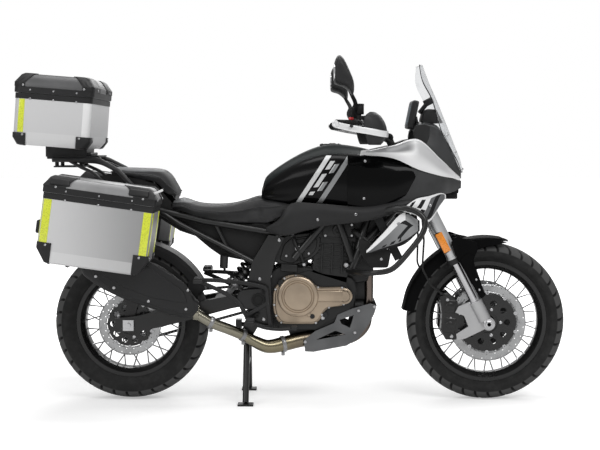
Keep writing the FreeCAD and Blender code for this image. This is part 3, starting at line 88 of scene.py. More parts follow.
WHEELS = (
    # word, body, axle, tyre radius, width, bead radius, half rim width, grooves, extra groove depth,
    # rim's inner radius, hub barrel and flange radii, flange's place, and the hub's drums: from, to, radius
    ("front", FRONT_SET, FRONT_AXLE, 329.5, 110, 241.3, 36, 36, 0, 218, 26, 44, 40,
     [(-69.5, -38, 34), (38, 69.5, 34), (-69.5, -61.5, 60), (61.5, 69.5, 60)]),
    ("rear", REAR_SET, REAR_AXLE, 321.0, 150, 215.9, 56, 34, 1, 194, 32, 60, 58,
     [(-87.5, -57, 52), (57, 88, 58)]))


def at_fork(up, ahead, left):
    """A point given along the steering axis, ahead of it and to the left, from the front axle."""
    return FRONT_AXLE + up * FORK_UP + ahead * FORK_AHEAD + left * Y


# ---------------------------------------------------------------- surfaces
def unit(vectors):
    """Each vector divided by its length."""
    vectors = np.asarray(vectors, float)
    return vectors / np.maximum(np.linalg.norm(vectors, axis=-1, keepdims=True), 1e-12)


def leaning(climb):
    """Directions of a box that climbs forwards by climb per unit of length: along it, across it and up."""
    return unit((1, 0, climb)), Y, unit((-climb, 0, 1))


def spline(points, count, closed=False):
    """Catmull-Rom curve: between p1 and p2 it is the cubic with slopes (p2-p0)/2 and (p3-p1)/2."""
    p = np.asarray(points, float)
    n = len(p)
    if closed:
        p = np.concatenate([p[-1:], p, p[:2]])
        t = np.arange(count) * n / count
    else:
        p = np.concatenate([2 * p[:1] - p[1:2], p, 2 * p[-1:] - p[-2:-1]])
        t = np.linspace(0, n - 1, count)
    i = np.minimum(t.astype(int), n - 1 if closed else n - 2)
    f = (t - i).reshape((-1,) + (1,) * (p.ndim - 1))
    a, b, c, d = p[i], p[i + 1], p[i + 2], p[i + 3]
    return b + 0.5 * f * (c - a + f * (2 * a - 5 * b + 4 * c - d + f * (3 * (b - c) + d - a)))


def spline_grid(table, rows, columns, closed=False):
    """A table of stations made smooth along both directions: rows along it, columns round each station."""
    smooth = spline(table, rows)
    return np.swapaxes(spline(np.swapaxes(smooth, 0, 1), columns, closed), 0, 1)


def lofted(rings, along, around):
    """A closed skin through a table of rings, made smooth both ways and kept inside the table's own box."""
    table = np.array(rings, float)
    smooth = spline_grid(table, along, around, closed=True)
    return Form().skin(np.clip(smooth, table.min((0, 1)), table.max((0, 1))))


def rounded(outline, radius, steps=5):
    """An outline whose corners are arcs: at each corner p the curve (1-t)^2 a + 2t(1-t) p + t^2 b."""
    p = np.asarray(outline, float)
    before, after = np.roll(p, 1, 0), np.roll(p, -1, 0)
    near = np.minimum(radius, 0.45 * np.linalg.norm(before - p, axis=1))[:, None]
    far = np.minimum(radius, 0.45 * np.linalg.norm(after - p, axis=1))[:, None]
    a, b = p + unit(before - p) * near, p + unit(after - p) * far
    t = np.linspace(0, 1, steps)[None, :, None]
    curve = (1 - t) ** 2 * a[:, None] + 2 * t * (1 - t) * p[:, None] + t ** 2 * b[:, None]
    return curve.reshape(-1, p.shape[1])


class Form:
    """Surfaces gathered for one mesh. Points are in millimetres."""

    def __init__(self):
        self.points, self.faces, self.size = [], [], 0

    def add(self, points, faces):
        points = np.asarray(points, float).reshape(-1, 3)
        self.points.append(points)
        self.faces += [[self.size + i for i in face] for face in faces]
        self.size += len(points)
        return self

    def grid(self, points, wrap_u=False, wrap_v=False, caps=False):
        """A surface of two parameters: points[u, v], with faces between neighbours."""
        nu, nv = points.shape[:2]
        u, v = np.meshgrid(np.arange(nu if wrap_u else nu - 1), np.arange(nv if wrap_v else nv - 1),
                           indexing="ij")
        u1, v1 = (u + 1) % nu, (v + 1) % nv
        faces = np.stack([u * nv + v, u1 * nv + v, u1 * nv + v1, u * nv + v1], -1).reshape(-1, 4).tolist()
        if caps:
            faces += [list(range(nv))[::-1], list(range((nu - 1) * nv, nu * nv))]
        return self.add(points, faces)

    def skin(self, rings):
        """A closed skin: rings joined in order, with a lid on the first and on the last."""
        return self.grid(rings, wrap_v=True, caps=True)

    def revolve(self, profile, centre, axis=Y, count=72, start=0.0, end=360.0, closed=False):
        """Turns a profile of (along the axis, radius) pairs: centre + a axis + r (cos t e1 + sin t e2)."""
        axis = unit(axis)
        e1 = unit(np.cross(axis, Z if abs(axis[2]) < 0.9 else X))
        e2 = np.cross(axis, e1)
        full = end - start >= 360
        t = np.radians(start + (end - start) * np.arange(count) / (count if full else count - 1))
        a, r = np.asarray(profile, float).T
        ring = np.cos(t)[:, None] * e1 + np.sin(t)[:, None] * e2
        points = centre + a[None, :, None] * axis + r[None, :, None] * ring[:, None, :]
        return self.grid(points, wrap_u=full, wrap_v=closed, caps=not full and closed)

    def tube(self, path, radius, sides=12, hint=Y, closed=False):
        """A circle carried along a path: path + radius (cos t n + sin t b), n across hint and the tangent."""
        path = np.asarray(path, float)
        tangent = unit(np.roll(path, -1, 0) - np.roll(path, 1, 0) if closed else np.gradient(path, axis=0))
        n = unit(np.cross(tangent, hint))
        b = np.cross(tangent, n)
        t = np.arange(sides) * 2 * np.pi / sides
        radius = np.broadcast_to(np.asarray(radius, float), len(path))[:, None, None]
        ring = np.cos(t)[None, :, None] * n[:, None] + np.sin(t)[None, :, None] * b[:, None]
        return self.grid(path[:, None] + radius * ring, wrap_u=closed, wrap_v=True, caps=not closed)

    def pillow(self, centre, half, radius, axes=(X, Y, Z), steps=4):
        """A rounded box: sign(n) (half - radius) + radius n over the directions n of a sphere."""
        lat = np.radians(np.concatenate([np.linspace(-90, 0, steps), np.linspace(0, 90, steps)]))
        up = np.repeat([-1, 1], steps)
        lon = np.radians(np.concatenate([np.linspace(q, q + 90, steps) for q in (0, 90, 180, 270)]))
        sx, sy = np.repeat([1, -1, -1, 1], steps), np.repeat([1, 1, -1, -1], steps)
        half = np.asarray(half, float)
        radius = min(radius, half.min() * 0.999)
        n = np.stack([np.cos(lat)[:, None] * np.cos(lon), np.cos(lat)[:, None] * np.sin(lon),
                      np.sin(lat)[:, None] * np.ones_like(lon)], -1)
        sign = np.stack([np.broadcast_to(sx, n.shape[:2]), np.broadcast_to(sy, n.shape[:2]),
                         np.broadcast_to(up[:, None], n.shape[:2])], -1)
        local = sign * (half - radius) + radius * n
        return self.skin(np.asarray(centre, float) + local @ np.asarray(axes, float))

    def plate(self, outline, low, high, axis=Y, edge=0.0):
        """A flat outline of (x, z) points carried across from low to high, its rims drawn in by edge."""
        p = np.asarray(outline, float)
        flat = np.stack([p[:, 0], np.zeros(len(p)), p[:, 1]], -1)
        middle = flat.mean(0)
        inner = flat + unit(middle - flat) * edge
        step = edge * np.sign(high - low)
        rings = [inner + axis * low, flat + axis * (low + step), flat + axis * (high - step),
                 inner + axis * high]
        return self.skin(np.array(rings if edge else rings[::3]))

    def bolt(self, head, axis, radius, height):
        """A button head with a socket, turned about axis."""
        profile = [(0, radius), (height * 0.55, radius), (height, radius * 0.72), (height, radius * 0.42),
                   (height * 0.35, radius * 0.38), (height * 0.35, 0.01)]
        return self.revolve(profile, head, axis, 12)

    def bolts(self, places, reach, side, radius, height):
        """Bolts at (x, z) places on one side, with their seats at reach from the middle plane."""
        for x, z in places:
            self.bolt(at(x, side * reach, z), Y * side, radius, height)


def piece(name, form, slot, paint=None, replaces=(), sharp=35.0, wall=0.0, bevel=0.0, body=CHASSIS):
    """Turns a form into an object on a body, with its finish and the modifiers asked for.

    The finish has the slot's name unless paint names another.
    """
    mesh = bpy.data.meshes.new(name)
    mesh.from_pydata(np.concatenate(form.points) * MM, [], form.faces)
    work = bmesh.new()
    work.from_mesh(mesh)
    bmesh.ops.remove_doubles(work, verts=work.verts, dist=2e-6)
    bmesh.ops.dissolve_degenerate(work, edges=work.edges, dist=1e-6)
    bmesh.ops.recalc_face_normals(work, faces=work.faces)
    work.to_mesh(mesh)
    work.free()
    mesh.shade_smooth()
    mesh.set_sharp_from_angle(angle=math.radians(sharp))
    mesh.materials.append(finish(paint or slot))
    thing = bpy.data.objects.new(name, mesh)
    bpy.context.scene.collection.objects.link(thing)
    if wall:
        shell = thing.modifiers.new("wall", "SOLIDIFY")
        shell.thickness, shell.offset = wall * MM, 0.0
    if bevel:
        rim = thing.modifiers.new("rims", "BEVEL")
        rim.width, rim.segments, rim.limit_method, rim.angle_limit = bevel * MM, 2, "ANGLE", math.radians(40)
    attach(thing, body)
    if replaces:
        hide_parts(*replaces)
    return thing


# ---------------------------------------------------------------- shader maths
class Socket:
    """An output of a shader node. Arithmetic on it adds Math nodes."""

    def __init__(self, paint, socket):
        self.paint, self.socket = paint, socket

    def op(self, operation, *values):
        return self.paint.node("Math", {"operation": operation}, dict(enumerate(values)))

    def __add__(self, other):
        return self.op("ADD", self, other)

    def __sub__(self, other):
        return self.op("SUBTRACT", self, other)

    def __rsub__(self, other):
        return self.op("SUBTRACT", other, self)

    def __mul__(self, other):
        return self.op("MULTIPLY", self, other)

    def __gt__(self, other):
        return self.op("GREATER_THAN", self, other)

    def __lt__(self, other):
        return self.op("LESS_THAN", self, other)

    def __pow__(self, other):
        return self.op("POWER", self, other)

    def __abs__(self):
        return self.op("ABSOLUTE", self)

    __radd__, __rmul__ = __add__, __mul__

    def wave(self, turns):
        """A sine of this value, turns cycles to the unit."""
        return self.op("SINE", self * (2 * math.pi * turns))

    def part(self):
        return self.op("FRACT", self)

    def either(self, other):
        return self.op("MAXIMUM", self, other)

    def ramp(self, low, high):
        """Goes from 0 to 1 as this value goes from low to high, with soft ends."""
        return self.paint.node("MapRange", {"interpolation_type": "SMOOTHSTEP"}, {0: self, 1: low, 2: high})


class Nodes:
    """A node tree being written."""

    def __init__(self, tree):
        self.tree = tree

    def node(self, kind, settings, inputs, output=0):
        """A shader node: its settings first, then the values or links of its sockets."""
        made = self.tree.nodes.new("ShaderNode" + kind)
        for key, value in settings.items():
            if key == "stops":
                ramp = made.color_ramp
                while len(ramp.elements) < len(value):
                    ramp.elements.new(1.0)
                for element, (position, colour) in zip(ramp.elements, value):
                    element.position, element.color = position, (*colour, 1.0)
            else:
                setattr(made, key, value)
        for key, value in inputs.items():
            self.feed(made.inputs[key], value)
        return Socket(self, made.outputs[output])

    def feed(self, target, value):
        if isinstance(value, Socket):
            self.tree.links.new(value.socket, target)
        elif isinstance(value, tuple) and len(value) == 3 and target.type == "RGBA":
            target.default_value = (*value, 1.0)
        else:
            target.default_value = value

    def mix(self, share, one, other):
        """Colour one where share is 0 and other where it is 1."""
        return self.node("Mix", {"data_type": "RGBA"}, {0: share, 6: one, 7: other}, 2)


class Paint(Nodes):
    """A material being written."""

    def __init__(self, name):
        self.material = bpy.data.materials.new("finish_" + name)
        self.material.use_nodes = True
        super().__init__(self.material.node_tree)
        self.shader = self.tree.nodes["Principled BSDF"]
        self.place = self.node("TexCoord", {}, {}, "Object")
        self.x, self.y, self.z = (self.node("SeparateXYZ", {}, {0: self.place}, axis) for axis in "XYZ")

    def panel_axes(self):
        """A panel's own two coordinates, 0 to 1 along its length and 0 to 1 down its height."""
        panel = self.node("UVMap", {"uv_map": "panel"}, {})
        return tuple(self.node("SeparateXYZ", {}, {0: panel}, axis) for axis in "XY")

    def stretch(self, scale, turn=(0, 0, 0)):
        """Object coordinates stretched and turned, for grain that runs one way."""
        return self.node("Mapping", {}, {"Vector": self.place, "Scale": scale, "Rotation": turn})

    def noise(self, scale, detail=3.0, rough=0.5, vector=None):
        return self.node("TexNoise", {}, {"Vector": vector or self.place, "Scale": scale, "Detail": detail,
                                          "Roughness": rough})

    def cells(self, scale, feature="F1", vector=None):
        return self.node("TexVoronoi", {"feature": feature}, {"Vector": vector or self.place, "Scale": scale})

    def bump(self, height, distance_mm, strength=1.0):
        """Feeds a height to the shader's Normal."""
        self.set(Normal=self.node("Bump", {}, {"Height": height, "Distance": distance_mm * MM,
                                               "Strength": strength}))

    def set(self, **values):
        """Sets sockets of the surface shader: spaces in their names are written as _."""
        for key, value in values.items():
            self.feed(self.shader.inputs[key.replace("_", " ")], value)
        return self


def finish_node(material, *nodes):
    """Gives CAD nodes that stay a finish."""
    for node in nodes:
        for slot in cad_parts[node].material_slots:
            slot.material = material


# ---------------------------------------------------------------- finishes
def plain(name, colour, rough, metallic, grain, depth, shade, coat, specular):
    """A finish with a fine grain in its relief and slow changes in its shade and gloss."""
    paint = Paint(name)
    slow, fine = paint.noise(9.0, 4.0), paint.noise(grain, 2.0, 0.6)
    dark = tuple(c * (1 - shade) for c in colour)
    light = tuple(min(1.0, c * (1 + shade)) for c in colour)
    paint.set(Base_Color=paint.mix(slow.ramp(0.3, 0.7), dark, light), Metallic=metallic,
              Roughness=slow * (0.35 * rough) + fine * (0.2 * rough) + 0.72 * rough,
              Coat_Weight=coat, Coat_Roughness=0.04, Specular_IOR_Level=specular)
    paint.bump(fine, depth)


PLAIN_FINISHES = {
    # name: colour, roughness, metallic, grain per metre, relief in mm, shade change, coat, specular
    "black_plastic": ((0.0135, 0.0135, 0.014), 0.5, 0.0, 900.0, 0.05, 0.2, 0.0, 0.3),
    "gloss_black": ((0.0016, 0.0017, 0.0018), 0.14, 0.0, 60.0, 0.01, 0.1, 0.08, 0.07),
    "fender_black": ((0.0042, 0.0042, 0.0044), 0.62, 0.0, 400.0, 0.02, 0.1, 0.0, 0.03),
    "matt_black": ((0.0080, 0.0080, 0.0080), 0.6, 0.0, 700.0, 0.05, 0.25, 0.0, 0.25),
    "frame_black": ((0.0100, 0.0100, 0.0100), 0.32, 0.0, 350.0, 0.03, 0.2, 0.15, 0.35),
    "engine_black": ((0.0120, 0.0120, 0.0120), 0.42, 0.2, 420.0, 0.12, 0.3, 0.0, 0.4),
    "cast_black": ((0.0190, 0.0190, 0.0195), 0.45, 0.25, 500.0, 0.1, 0.25, 0.0, 0.4),
    "rim_black": ((0.0080, 0.0080, 0.0080), 0.28, 0.0, 120.0, 0.01, 0.15, 0.2, 0.35),
    "caliper_black": ((0.0130, 0.0125, 0.0125), 0.36, 0.2, 380.0, 0.08, 0.2, 0.1, 0.4),
    "hose_rubber": ((0.0095, 0.0095, 0.0095), 0.5, 0.0, 1200.0, 0.04, 0.15, 0.0, 0.3),
    "grip_rubber": ((0.0100, 0.0100, 0.0100), 0.75, 0.0, 1500.0, 0.1, 0.2, 0.0, 0.2),
    "engine_bronze": ((0.365, 0.292, 0.218), 0.33, 0.75, 600.0, 0.07, 0.14, 0.0, 0.5),
    "cast_silver": ((0.50, 0.50, 0.51), 0.38, 0.8, 450.0, 0.09, 0.14, 0.0, 0.5),
    "satin_silver": ((0.82, 0.82, 0.825), 0.30, 0.25, 350.0, 0.02, 0.05, 0.1, 0.5),
    "lid_grey": ((0.27, 0.27, 0.272), 0.42, 0.4, 500.0, 0.03, 0.12, 0.0, 0.4),
    "lid_dark": ((0.105, 0.105, 0.107), 0.40, 0.3, 500.0, 0.03, 0.12, 0.0, 0.35),
    "cast_aluminium": ((0.36, 0.36, 0.365), 0.45, 0.85, 500.0, 0.1, 0.16, 0.0, 0.5),
    "bolt_steel": ((0.50, 0.50, 0.51), 0.28, 1.0, 300.0, 0.02, 0.1, 0.0, 0.5),
    "spoke_steel": ((0.20, 0.20, 0.205), 0.34, 0.5, 250.0, 0.02, 0.12, 0.0, 0.4),
    "spring_steel": ((0.26, 0.26, 0.265), 0.3, 0.6, 250.0, 0.02, 0.12, 0.2, 0.5),
    "chrome": ((0.72, 0.72, 0.73), 0.08, 1.0, 200.0, 0.004, 0.04, 0.0, 0.5),
    "skid_grey": ((0.115, 0.117, 0.120), 0.46, 0.3, 380.0, 0.08, 0.18, 0.0, 0.4),
    "nose_grey": ((0.0330, 0.0335, 0.0345), 0.45, 0.0, 700.0, 0.04, 0.2, 0.0, 0.3),
    "white_plastic": ((0.74, 0.74, 0.74), 0.3, 0.0, 300.0, 0.01, 0.03, 0.5, 0.5),
    "red_plastic": ((0.50, 0.010, 0.012), 0.35, 0.0, 300.0, 0.02, 0.1, 0.3, 0.5),
    "core_metal": ((0.016, 0.0165, 0.017), 0.4, 0.5, 800.0, 0.3, 0.3, 0.0, 0.4),
}
LENS_FINISHES = {
    # name: colour, roughness, cell size per metre
    "orange_lens": ((0.95, 0.30, 0.012), 0.16, 260.0),
    "red_lens": ((0.6, 0.01, 0.01), 0.14, 240.0),
    "reflective_yellow": ((0.70, 0.77, 0.03), 0.34, 170.0),
}


def tyre_rubber(name, centre, radius):
    """Rubber: paler on the tread, partly wear where it meets the road and partly painted light, with painted
    shade in its grooves, darker than the side wall, and fine rings on the side wall.
    """
    paint = Paint(name)
    dx, dz = paint.x - centre[0] * MM, paint.z - centre[2] * MM
    reach = (dx * dx + dz * dz) ** 0.5
    rings = reach.wave(420.0).ramp(0.5, 1.0) * (reach < (radius - 38) * MM)
    groove = paint.node("Attribute", {"attribute_name": "groove"}, {}, "Fac")
    # painted light and wear: the tread is made paler, except in its grooves
    tread_wear_and_light = reach.ramp((radius - 36) * MM, (radius - 31) * MM) * (1 - groove)
    dust = paint.noise(26.0, 5.0, 0.6)
    wall = paint.mix(dust.ramp(0.35, 0.75), (0.013, 0.013, 0.013), (0.026, 0.0258, 0.0255))
    # painted shade: the grooves are made darker than the side wall
    wall = paint.mix(groove, wall, (0.002, 0.002, 0.002))
    paint.set(Base_Color=paint.mix(tread_wear_and_light, wall, (0.068, 0.0678, 0.0675)), Roughness=dust * 0.25 + 0.56,
              Specular_IOR_Level=0.2)
    paint.bump(rings * 0.6 + paint.noise(900.0, 2.0) * 0.4, 0.25)


def turned_steel(name, centre, colour, rough, lines):
    """Steel with lathe marks: rings about the axle, with a blued tint that comes and goes."""
    paint = Paint(name)
    dx, dz = paint.x - centre[0] * MM, paint.z - centre[2] * MM
    radius = (dx * dx + dz * dz) ** 0.5
    marks = radius.wave(lines) * 0.5 + paint.noise(240.0, 3.0) * 0.6
    tint = paint.noise(18.0, 3.0).ramp(0.35, 0.7)
    paint.set(Base_Color=paint.mix(tint, colour, tuple(c * 0.8 for c in colour)), Metallic=1.0,
              Roughness=marks * 0.12 + rough)
    paint.bump(marks, 0.03)


def brushed_sheet(name, colour, rough, along):
    """Brushed sheet: streaks drawn out in one direction."""
    paint = Paint(name)
    streak = paint.noise(900.0, 3.0, 0.6, paint.stretch(along))
    cloud = paint.noise(6.0, 3.0)
    paint.set(Base_Color=paint.mix(streak, colour, tuple(c * 0.8 for c in colour)), Metallic=0.4,
              Roughness=streak * 0.16 + cloud * 0.1 + rough)
    paint.bump(streak, 0.02)


def case_sheet(name, colour):
    """Brushed case sheet with painted shade that grows forwards along each side, a painted reflection below
    the lowest fold and a painted highlight on the top box's front corners, told by the place in the case's
    own leaning frame.
    """
    paint = Paint(name)
    x, z, high = paint.x, paint.z, paint.z > 1.03
    streak = paint.noise(900.0, 3.0, 0.6, paint.stretch((1.0, 1.0, 0.03)))
    cloud = paint.noise(6.0, 3.0)
    # painted shade: the sheet darkens forwards along each side
    deep = (x - high * 0.22).ramp(-0.98, -0.52)
    # painted reflection: paler below the lowest fold
    foot = (1 - high) * (z + x * 0.141 < 0.529) + high * (z + x * 0.079 < 1.033)
    lean = x - (z - 1.25) * 0.0787
    # painted highlight: a pale band on the top box's front corners
    corner = high * (lean > -0.835) * (lean < -0.8035) * (abs(paint.y) > 0.2)
    base = paint.mix(deep * 0.92 + cloud * 0.08, colour, tuple(c * 0.43 for c in colour))
    base = paint.mix(foot * 0.35, base, (0.8, 0.8, 0.8))
    base = paint.mix(corner * 0.9, base, (0.9, 0.9, 0.9))
    base = paint.mix(streak * 0.12, base, (0.25, 0.25, 0.25))
    paint.set(Base_Color=base, Metallic=0.15, Roughness=streak * 0.16 + cloud * 0.1 + 0.34)
    paint.bump(streak, 0.02)


def golden_stainless(name):
    """Exhaust steel whose straw and blue heat tints fade along the pipe."""
    paint = Paint(name)
    heat = (paint.x * 1.6 + paint.noise(14.0, 3.0) * 0.25 + 0.62).ramp(0.15, 1.05)
    colour = paint.node("ValToRGB", {"stops": [(0.0, (0.27, 0.255, 0.205)), (0.35, (0.24, 0.22, 0.155)),
                                               (0.6, (0.23, 0.20, 0.13)), (0.85, (0.17, 0.14, 0.105)),
                                               (1.0, (0.14, 0.115, 0.10))]}, {0: heat})
    marks = paint.noise(300.0, 3.0, 0.6)
    paint.set(Base_Color=colour, Metallic=1.0, Roughness=marks * 0.12 + 0.16)
    paint.bump(marks, 0.03)


def seat_vinyl(name, pale):
    """Pebbled vinyl: rounded cells of about 1.5 mm, with painted light on the faces that look up, behind and
    above the place that pale gives.
    """
    paint = Paint(name)
    pebble = paint.cells(620.0)
    cloud = paint.noise(12.0, 4.0)
    dark, light = (0.016, 0.016, 0.0165), (0.028, 0.028, 0.029)
    base = paint.mix(cloud.ramp(0.3, 0.75), dark, light)
    if pale:
        # painted light: upward faces behind and above pale are made paler
        up = paint.node("NewGeometry", {}, {}, "Normal")
        facing = paint.node("SeparateXYZ", {}, {0: up}, "Z")
        painted_top_light = (paint.x < pale[0]) * (paint.z > pale[1])
        base = paint.mix(facing.ramp(0.72, 0.9) * painted_top_light, base, (0.125, 0.127, 0.13))
    paint.set(Base_Color=base, Roughness=pebble * 0.3 + 0.46, Specular_IOR_Level=0.25, Sheen_Weight=0.04)
    paint.bump(pebble, 0.18)


def lens(name, colour, rough, scale):
    """A moulded reflector: small prisms that change the shade and relief."""
    paint = Paint(name)
    prism = paint.cells(scale)
    paint.set(Base_Color=paint.mix(prism.ramp(0.1, 0.6), tuple(c * 0.72 for c in colour), colour),
              Roughness=prism * 0.2 + rough, Coat_Weight=0.8, Coat_Roughness=0.03)
    paint.bump(prism, 0.3)


def clear_sheet(name, colour, rough, ior):
    """Clear plastic, with a faint haze that varies."""
    paint = Paint(name)
    haze = paint.noise(30.0, 3.0)
    paint.set(Base_Color=paint.mix(haze, colour, tuple(c * 0.96 for c in colour)),
              Roughness=haze * 0.03 + rough, Transmission_Weight=1.0, IOR=ior)


def tank_paint(name):
    """Black with two slanted silver stripes, short bars between them, and a dark matt cover on top."""
    paint = Paint(name)
    x, z = paint.x, paint.z
    lean = x - (z - 0.835) * 0.65
    side = (abs(paint.y) > 0.09) * (z > 0.826) * (z < 1.022)
    first, last = (lean > 0.010) * (lean < 0.031), (lean > 0.096) * (lean < 0.118)
    step = ((z - x * 0.12) * 15.0).part()
    short = (lean > 0.041) * (lean < 0.059) * (step > 0.25) + (lean > 0.066) * (lean < 0.084) * (step < 0.5)
    mark = side * first.either(last).either(short * (z > 0.862) * (z < 1.0))
    silver = paint.mix(lean > 0.07, (0.66, 0.665, 0.67), (0.29, 0.295, 0.30))
    cloud = paint.noise(8.0, 3.0)
    black = paint.mix(cloud, (0.0020, 0.0020, 0.0022), (0.0032, 0.0032, 0.0034))
    short_of = (0.17 - x).either(0.0)
    cover = (z + short_of * short_of * 1.55).ramp(1.0265, 1.0275)
    base = paint.mix(mark, paint.mix(cover, black, (0.0068, 0.0098, 0.0098)), silver)
    paint.set(Base_Color=base, Roughness=cover * 0.36 + mark * 0.12 + cloud * 0.04 + 0.2,
              Metallic=mark * 0.2, Coat_Weight=(1 - cover) * 0.06, Coat_Roughness=0.12,
              Specular_IOR_Level=0.10)
    paint.bump(cover * 3.0 + cloud, 0.3)


def fairing_paint(name):
    """Silver, with painted shade between its crease and foot at the rear, across the panel's middle and low
    on its tail, and white towards the nose and rims.
    """
    paint = Paint(name)
    u, v = paint.panel_axes()
    flake = paint.noise(1600.0, 1.0)
    edge, foot = v.ramp(0.07, 0.14), 1 - v.ramp(0.46, 0.66)
    # painted shade: deep at the rear between crease and foot, middle across the panel's middle, tail low on
    # its rear tip
    deep = edge * foot * (1 - u.ramp(0.31, 0.42))
    middle = edge * (1 - v.ramp(0.5, 0.9)) * u.ramp(0.31, 0.42) * (1 - u.ramp(0.6, 0.9)) * 0.5
    tail = (1 - u.ramp(0.1, 0.34)) * v.ramp(0.4, 0.6) * 0.45
    body = paint.mix(deep.either(middle).either(tail), (0.79, 0.79, 0.795), (0.165, 0.167, 0.172))
    paint.set(Base_Color=paint.mix(flake * 0.1, body, (0.8, 0.8, 0.8)), Roughness=flake * 0.1 + 0.34,
              Coat_Weight=0.2, Coat_Roughness=0.1)
    paint.bump(flake, 0.01)


def border(u, v, wide):
    """1 within wide of the panel's rim, by its own two coordinates, else 0."""
    return (u < wide * 0.55).either(u > 1 - wide * 0.55).either(v < wide).either(v > 1 - wide)


def upper_wing_paint(name):
    """A white border; slanted white and black blocks in two rows at the rear, grey with a band ahead."""
    paint = Paint(name)
    u, v = paint.panel_axes()
    rim = border(u, v, 0.11)
    lean = u * 4.0 + v * 1.15
    phase = (lean * 1.25 + (v > 0.5) * 0.5).part()
    rear = lean < 2.35
    black = (rear * (phase < 0.42)).either((1 - rear) * (lean > 2.75) * (lean < 3.25))
    flake = paint.noise(1400.0, 1.0)
    base = paint.mix(rear, (0.12, 0.122, 0.126), (0.80, 0.80, 0.805))
    base = paint.mix(black, base, (0.010, 0.010, 0.011))
    base = paint.mix(rim, base, (0.80, 0.80, 0.805))
    paint.set(Base_Color=base, Roughness=flake * 0.12 + 0.26, Coat_Weight=0.1, Coat_Roughness=0.1,
              Specular_IOR_Level=0.18)
    paint.bump(flake, 0.01)


def lower_wing_paint(name):
    """Grey inside a black rim, a white band up its rear edge, a black chevron ahead, short bars below."""
    paint = Paint(name)
    u, v = paint.panel_axes()
    upper = (v < (1 - u) ** 2 * 0.34 + 0.23) * (u < 0.7)
    rim = border(u, v, 0.07).either(v > 0.87)
    arrow = u + abs(v - 0.46) * 0.85
    chevron = (arrow > 0.74) * (arrow < 0.86) * (v > 0.16) * (v < 0.74) * (u > 0.56)
    bars = ((u * 7.0 + v * 2.4).part() < 0.5) * (v > 0.74) * (v < 0.84) * (u > 0.3) * (u < 0.62)
    shade = u.ramp(0.0, 1.0)
    flake = paint.noise(1400.0, 1.0)
    base = paint.mix(shade, (0.10, 0.102, 0.106), (0.36, 0.365, 0.37))
    base = paint.mix(chevron.either(bars).either(rim), base, (0.010, 0.010, 0.011))
    base = paint.mix(upper, base, (0.82, 0.82, 0.825))
    paint.set(Base_Color=base, Roughness=flake * 0.12 + 0.26, Coat_Weight=0.1, Coat_Roughness=0.1,
              Specular_IOR_Level=0.18)
    paint.bump(flake, 0.01)


def fork_silver(name):
    """Satin silver outer tubes with drawn lines along the leg."""
    paint = Paint(name)
    streak = paint.noise(700.0, 3.0, 0.6, paint.stretch((1.0, 1.0, 0.05), (0, -RAKE, 0)))
    cloud = paint.noise(14.0, 3.0)
    paint.set(Base_Color=paint.mix(streak * 0.5 + cloud * 0.5, (0.46, 0.465, 0.47), (0.62, 0.625, 0.63)),
              Metallic=0.85, Roughness=streak * 0.12 + cloud * 0.08 + 0.24)
    paint.bump(streak, 0.015)


def fork_stanchion(name):
    """Bright tubes above the axle lugs, which are rough cast: told apart by the height along the leg."""
    paint = Paint(name)
    x, z = paint.x - FRONT_AXLE[0] * MM, paint.z - FRONT_AXLE[2] * MM
    up = z * math.cos(RAKE) - x * math.sin(RAKE)
    ahead = x * math.cos(RAKE) + z * math.sin(RAKE)
    tube = (up > 0.106) * (abs(ahead + 0.006) < 0.0245)
    grain, cloud = paint.noise(600.0, 3.0, 0.6), paint.noise(11.0, 3.0)
    cast = paint.mix(cloud, (0.42, 0.42, 0.425), (0.50, 0.50, 0.505))
    paint.set(Base_Color=paint.mix(tube, cast, (0.52, 0.52, 0.53)), Metallic=tube * 0.2 + 0.78,
              Roughness=(1 - tube) * 0.30 + grain * 0.05 + 0.12)
    paint.bump(grain * (1 - tube), 0.08)


def dash_screen(name):
    """A dark instrument glass with a faint lit dial: two arcs and a bar."""
    paint = Paint(name)
    dz = paint.z - 1.19
    radius = (paint.y * paint.y + dz * dz) ** 0.5
    dial = (radius > 0.03) * (radius < 0.0325) + (radius > 0.038) * (radius < 0.0392)
    bar = (abs(paint.y) > 0.052) * (abs(paint.y) < 0.058) * ((paint.z * 160.0).part() > 0.4)
    smear = paint.noise(20.0, 3.0)
    glow = paint.mix(dial.either(bar), (0.0, 0.0, 0.0), (0.35, 0.55, 0.7))
    paint.set(Base_Color=paint.mix(smear, (0.004, 0.004, 0.005), (0.008, 0.008, 0.009)), Emission_Color=glow,
              Emission_Strength=0.5, Roughness=smear * 0.1 + 0.3, Specular_IOR_Level=0.06)


def finish(name):
    return bpy.data.materials["finish_" + name]


class Operator(bpy.types.Operator):
    bl_options = {"REGISTER", "UNDO"}


class BIKE_OT_finishes(Operator):
    """Paint, rubber, metal, vinyl and lens finishes"""
    bl_idname = "bike.finishes"
    bl_label = "Finishes"

    def execute(self, context):
        look = context.scene.bike_look
        for name, row in PLAIN_FINISHES.items():
            plain(name, *row)
        for name, row in LENS_FINISHES.items():
            lens(name, *row)
        for word, _, axle, radius, *_ in WHEELS:
            tyre_rubber("tyre_" + word, axle, radius)
        for word, _, axle, *_ in WHEELS:
            turned_steel("disc_" + word, axle, (0.40, 0.403, 0.407), 0.24, 700.0)
        turned_steel("sprocket_steel", REAR_AXLE, (0.36, 0.36, 0.365), 0.32, 500.0)
        case_sheet("case_aluminium", tuple(look.case_colour))
        brushed_sheet("silencer_black", (0.019, 0.019, 0.0195), 0.42, (0.2, 1.0, 1.0))
        golden_stainless("stainless")
        seat_vinyl("seat_rider", (-0.30, 0.828))
        seat_vinyl("seat_pillion", (-0.40, 0.955))
        clear_sheet("screen_clear", (0.80, 0.81, 0.82), 0.01, 1.12)
        clear_sheet("lamp_clear", (0.95, 0.95, 0.95), 0.02, 1.4)
        tank_paint("tank_paint")
        fairing_paint("fairing_paint")
        upper_wing_paint("upper_wing_paint")
        lower_wing_paint("lower_wing_paint")
        fork_silver("fork_silver")
        fork_stanchion("fork_stanchion")
        dash_screen("dash_screen")
        return {"FINISHED"}


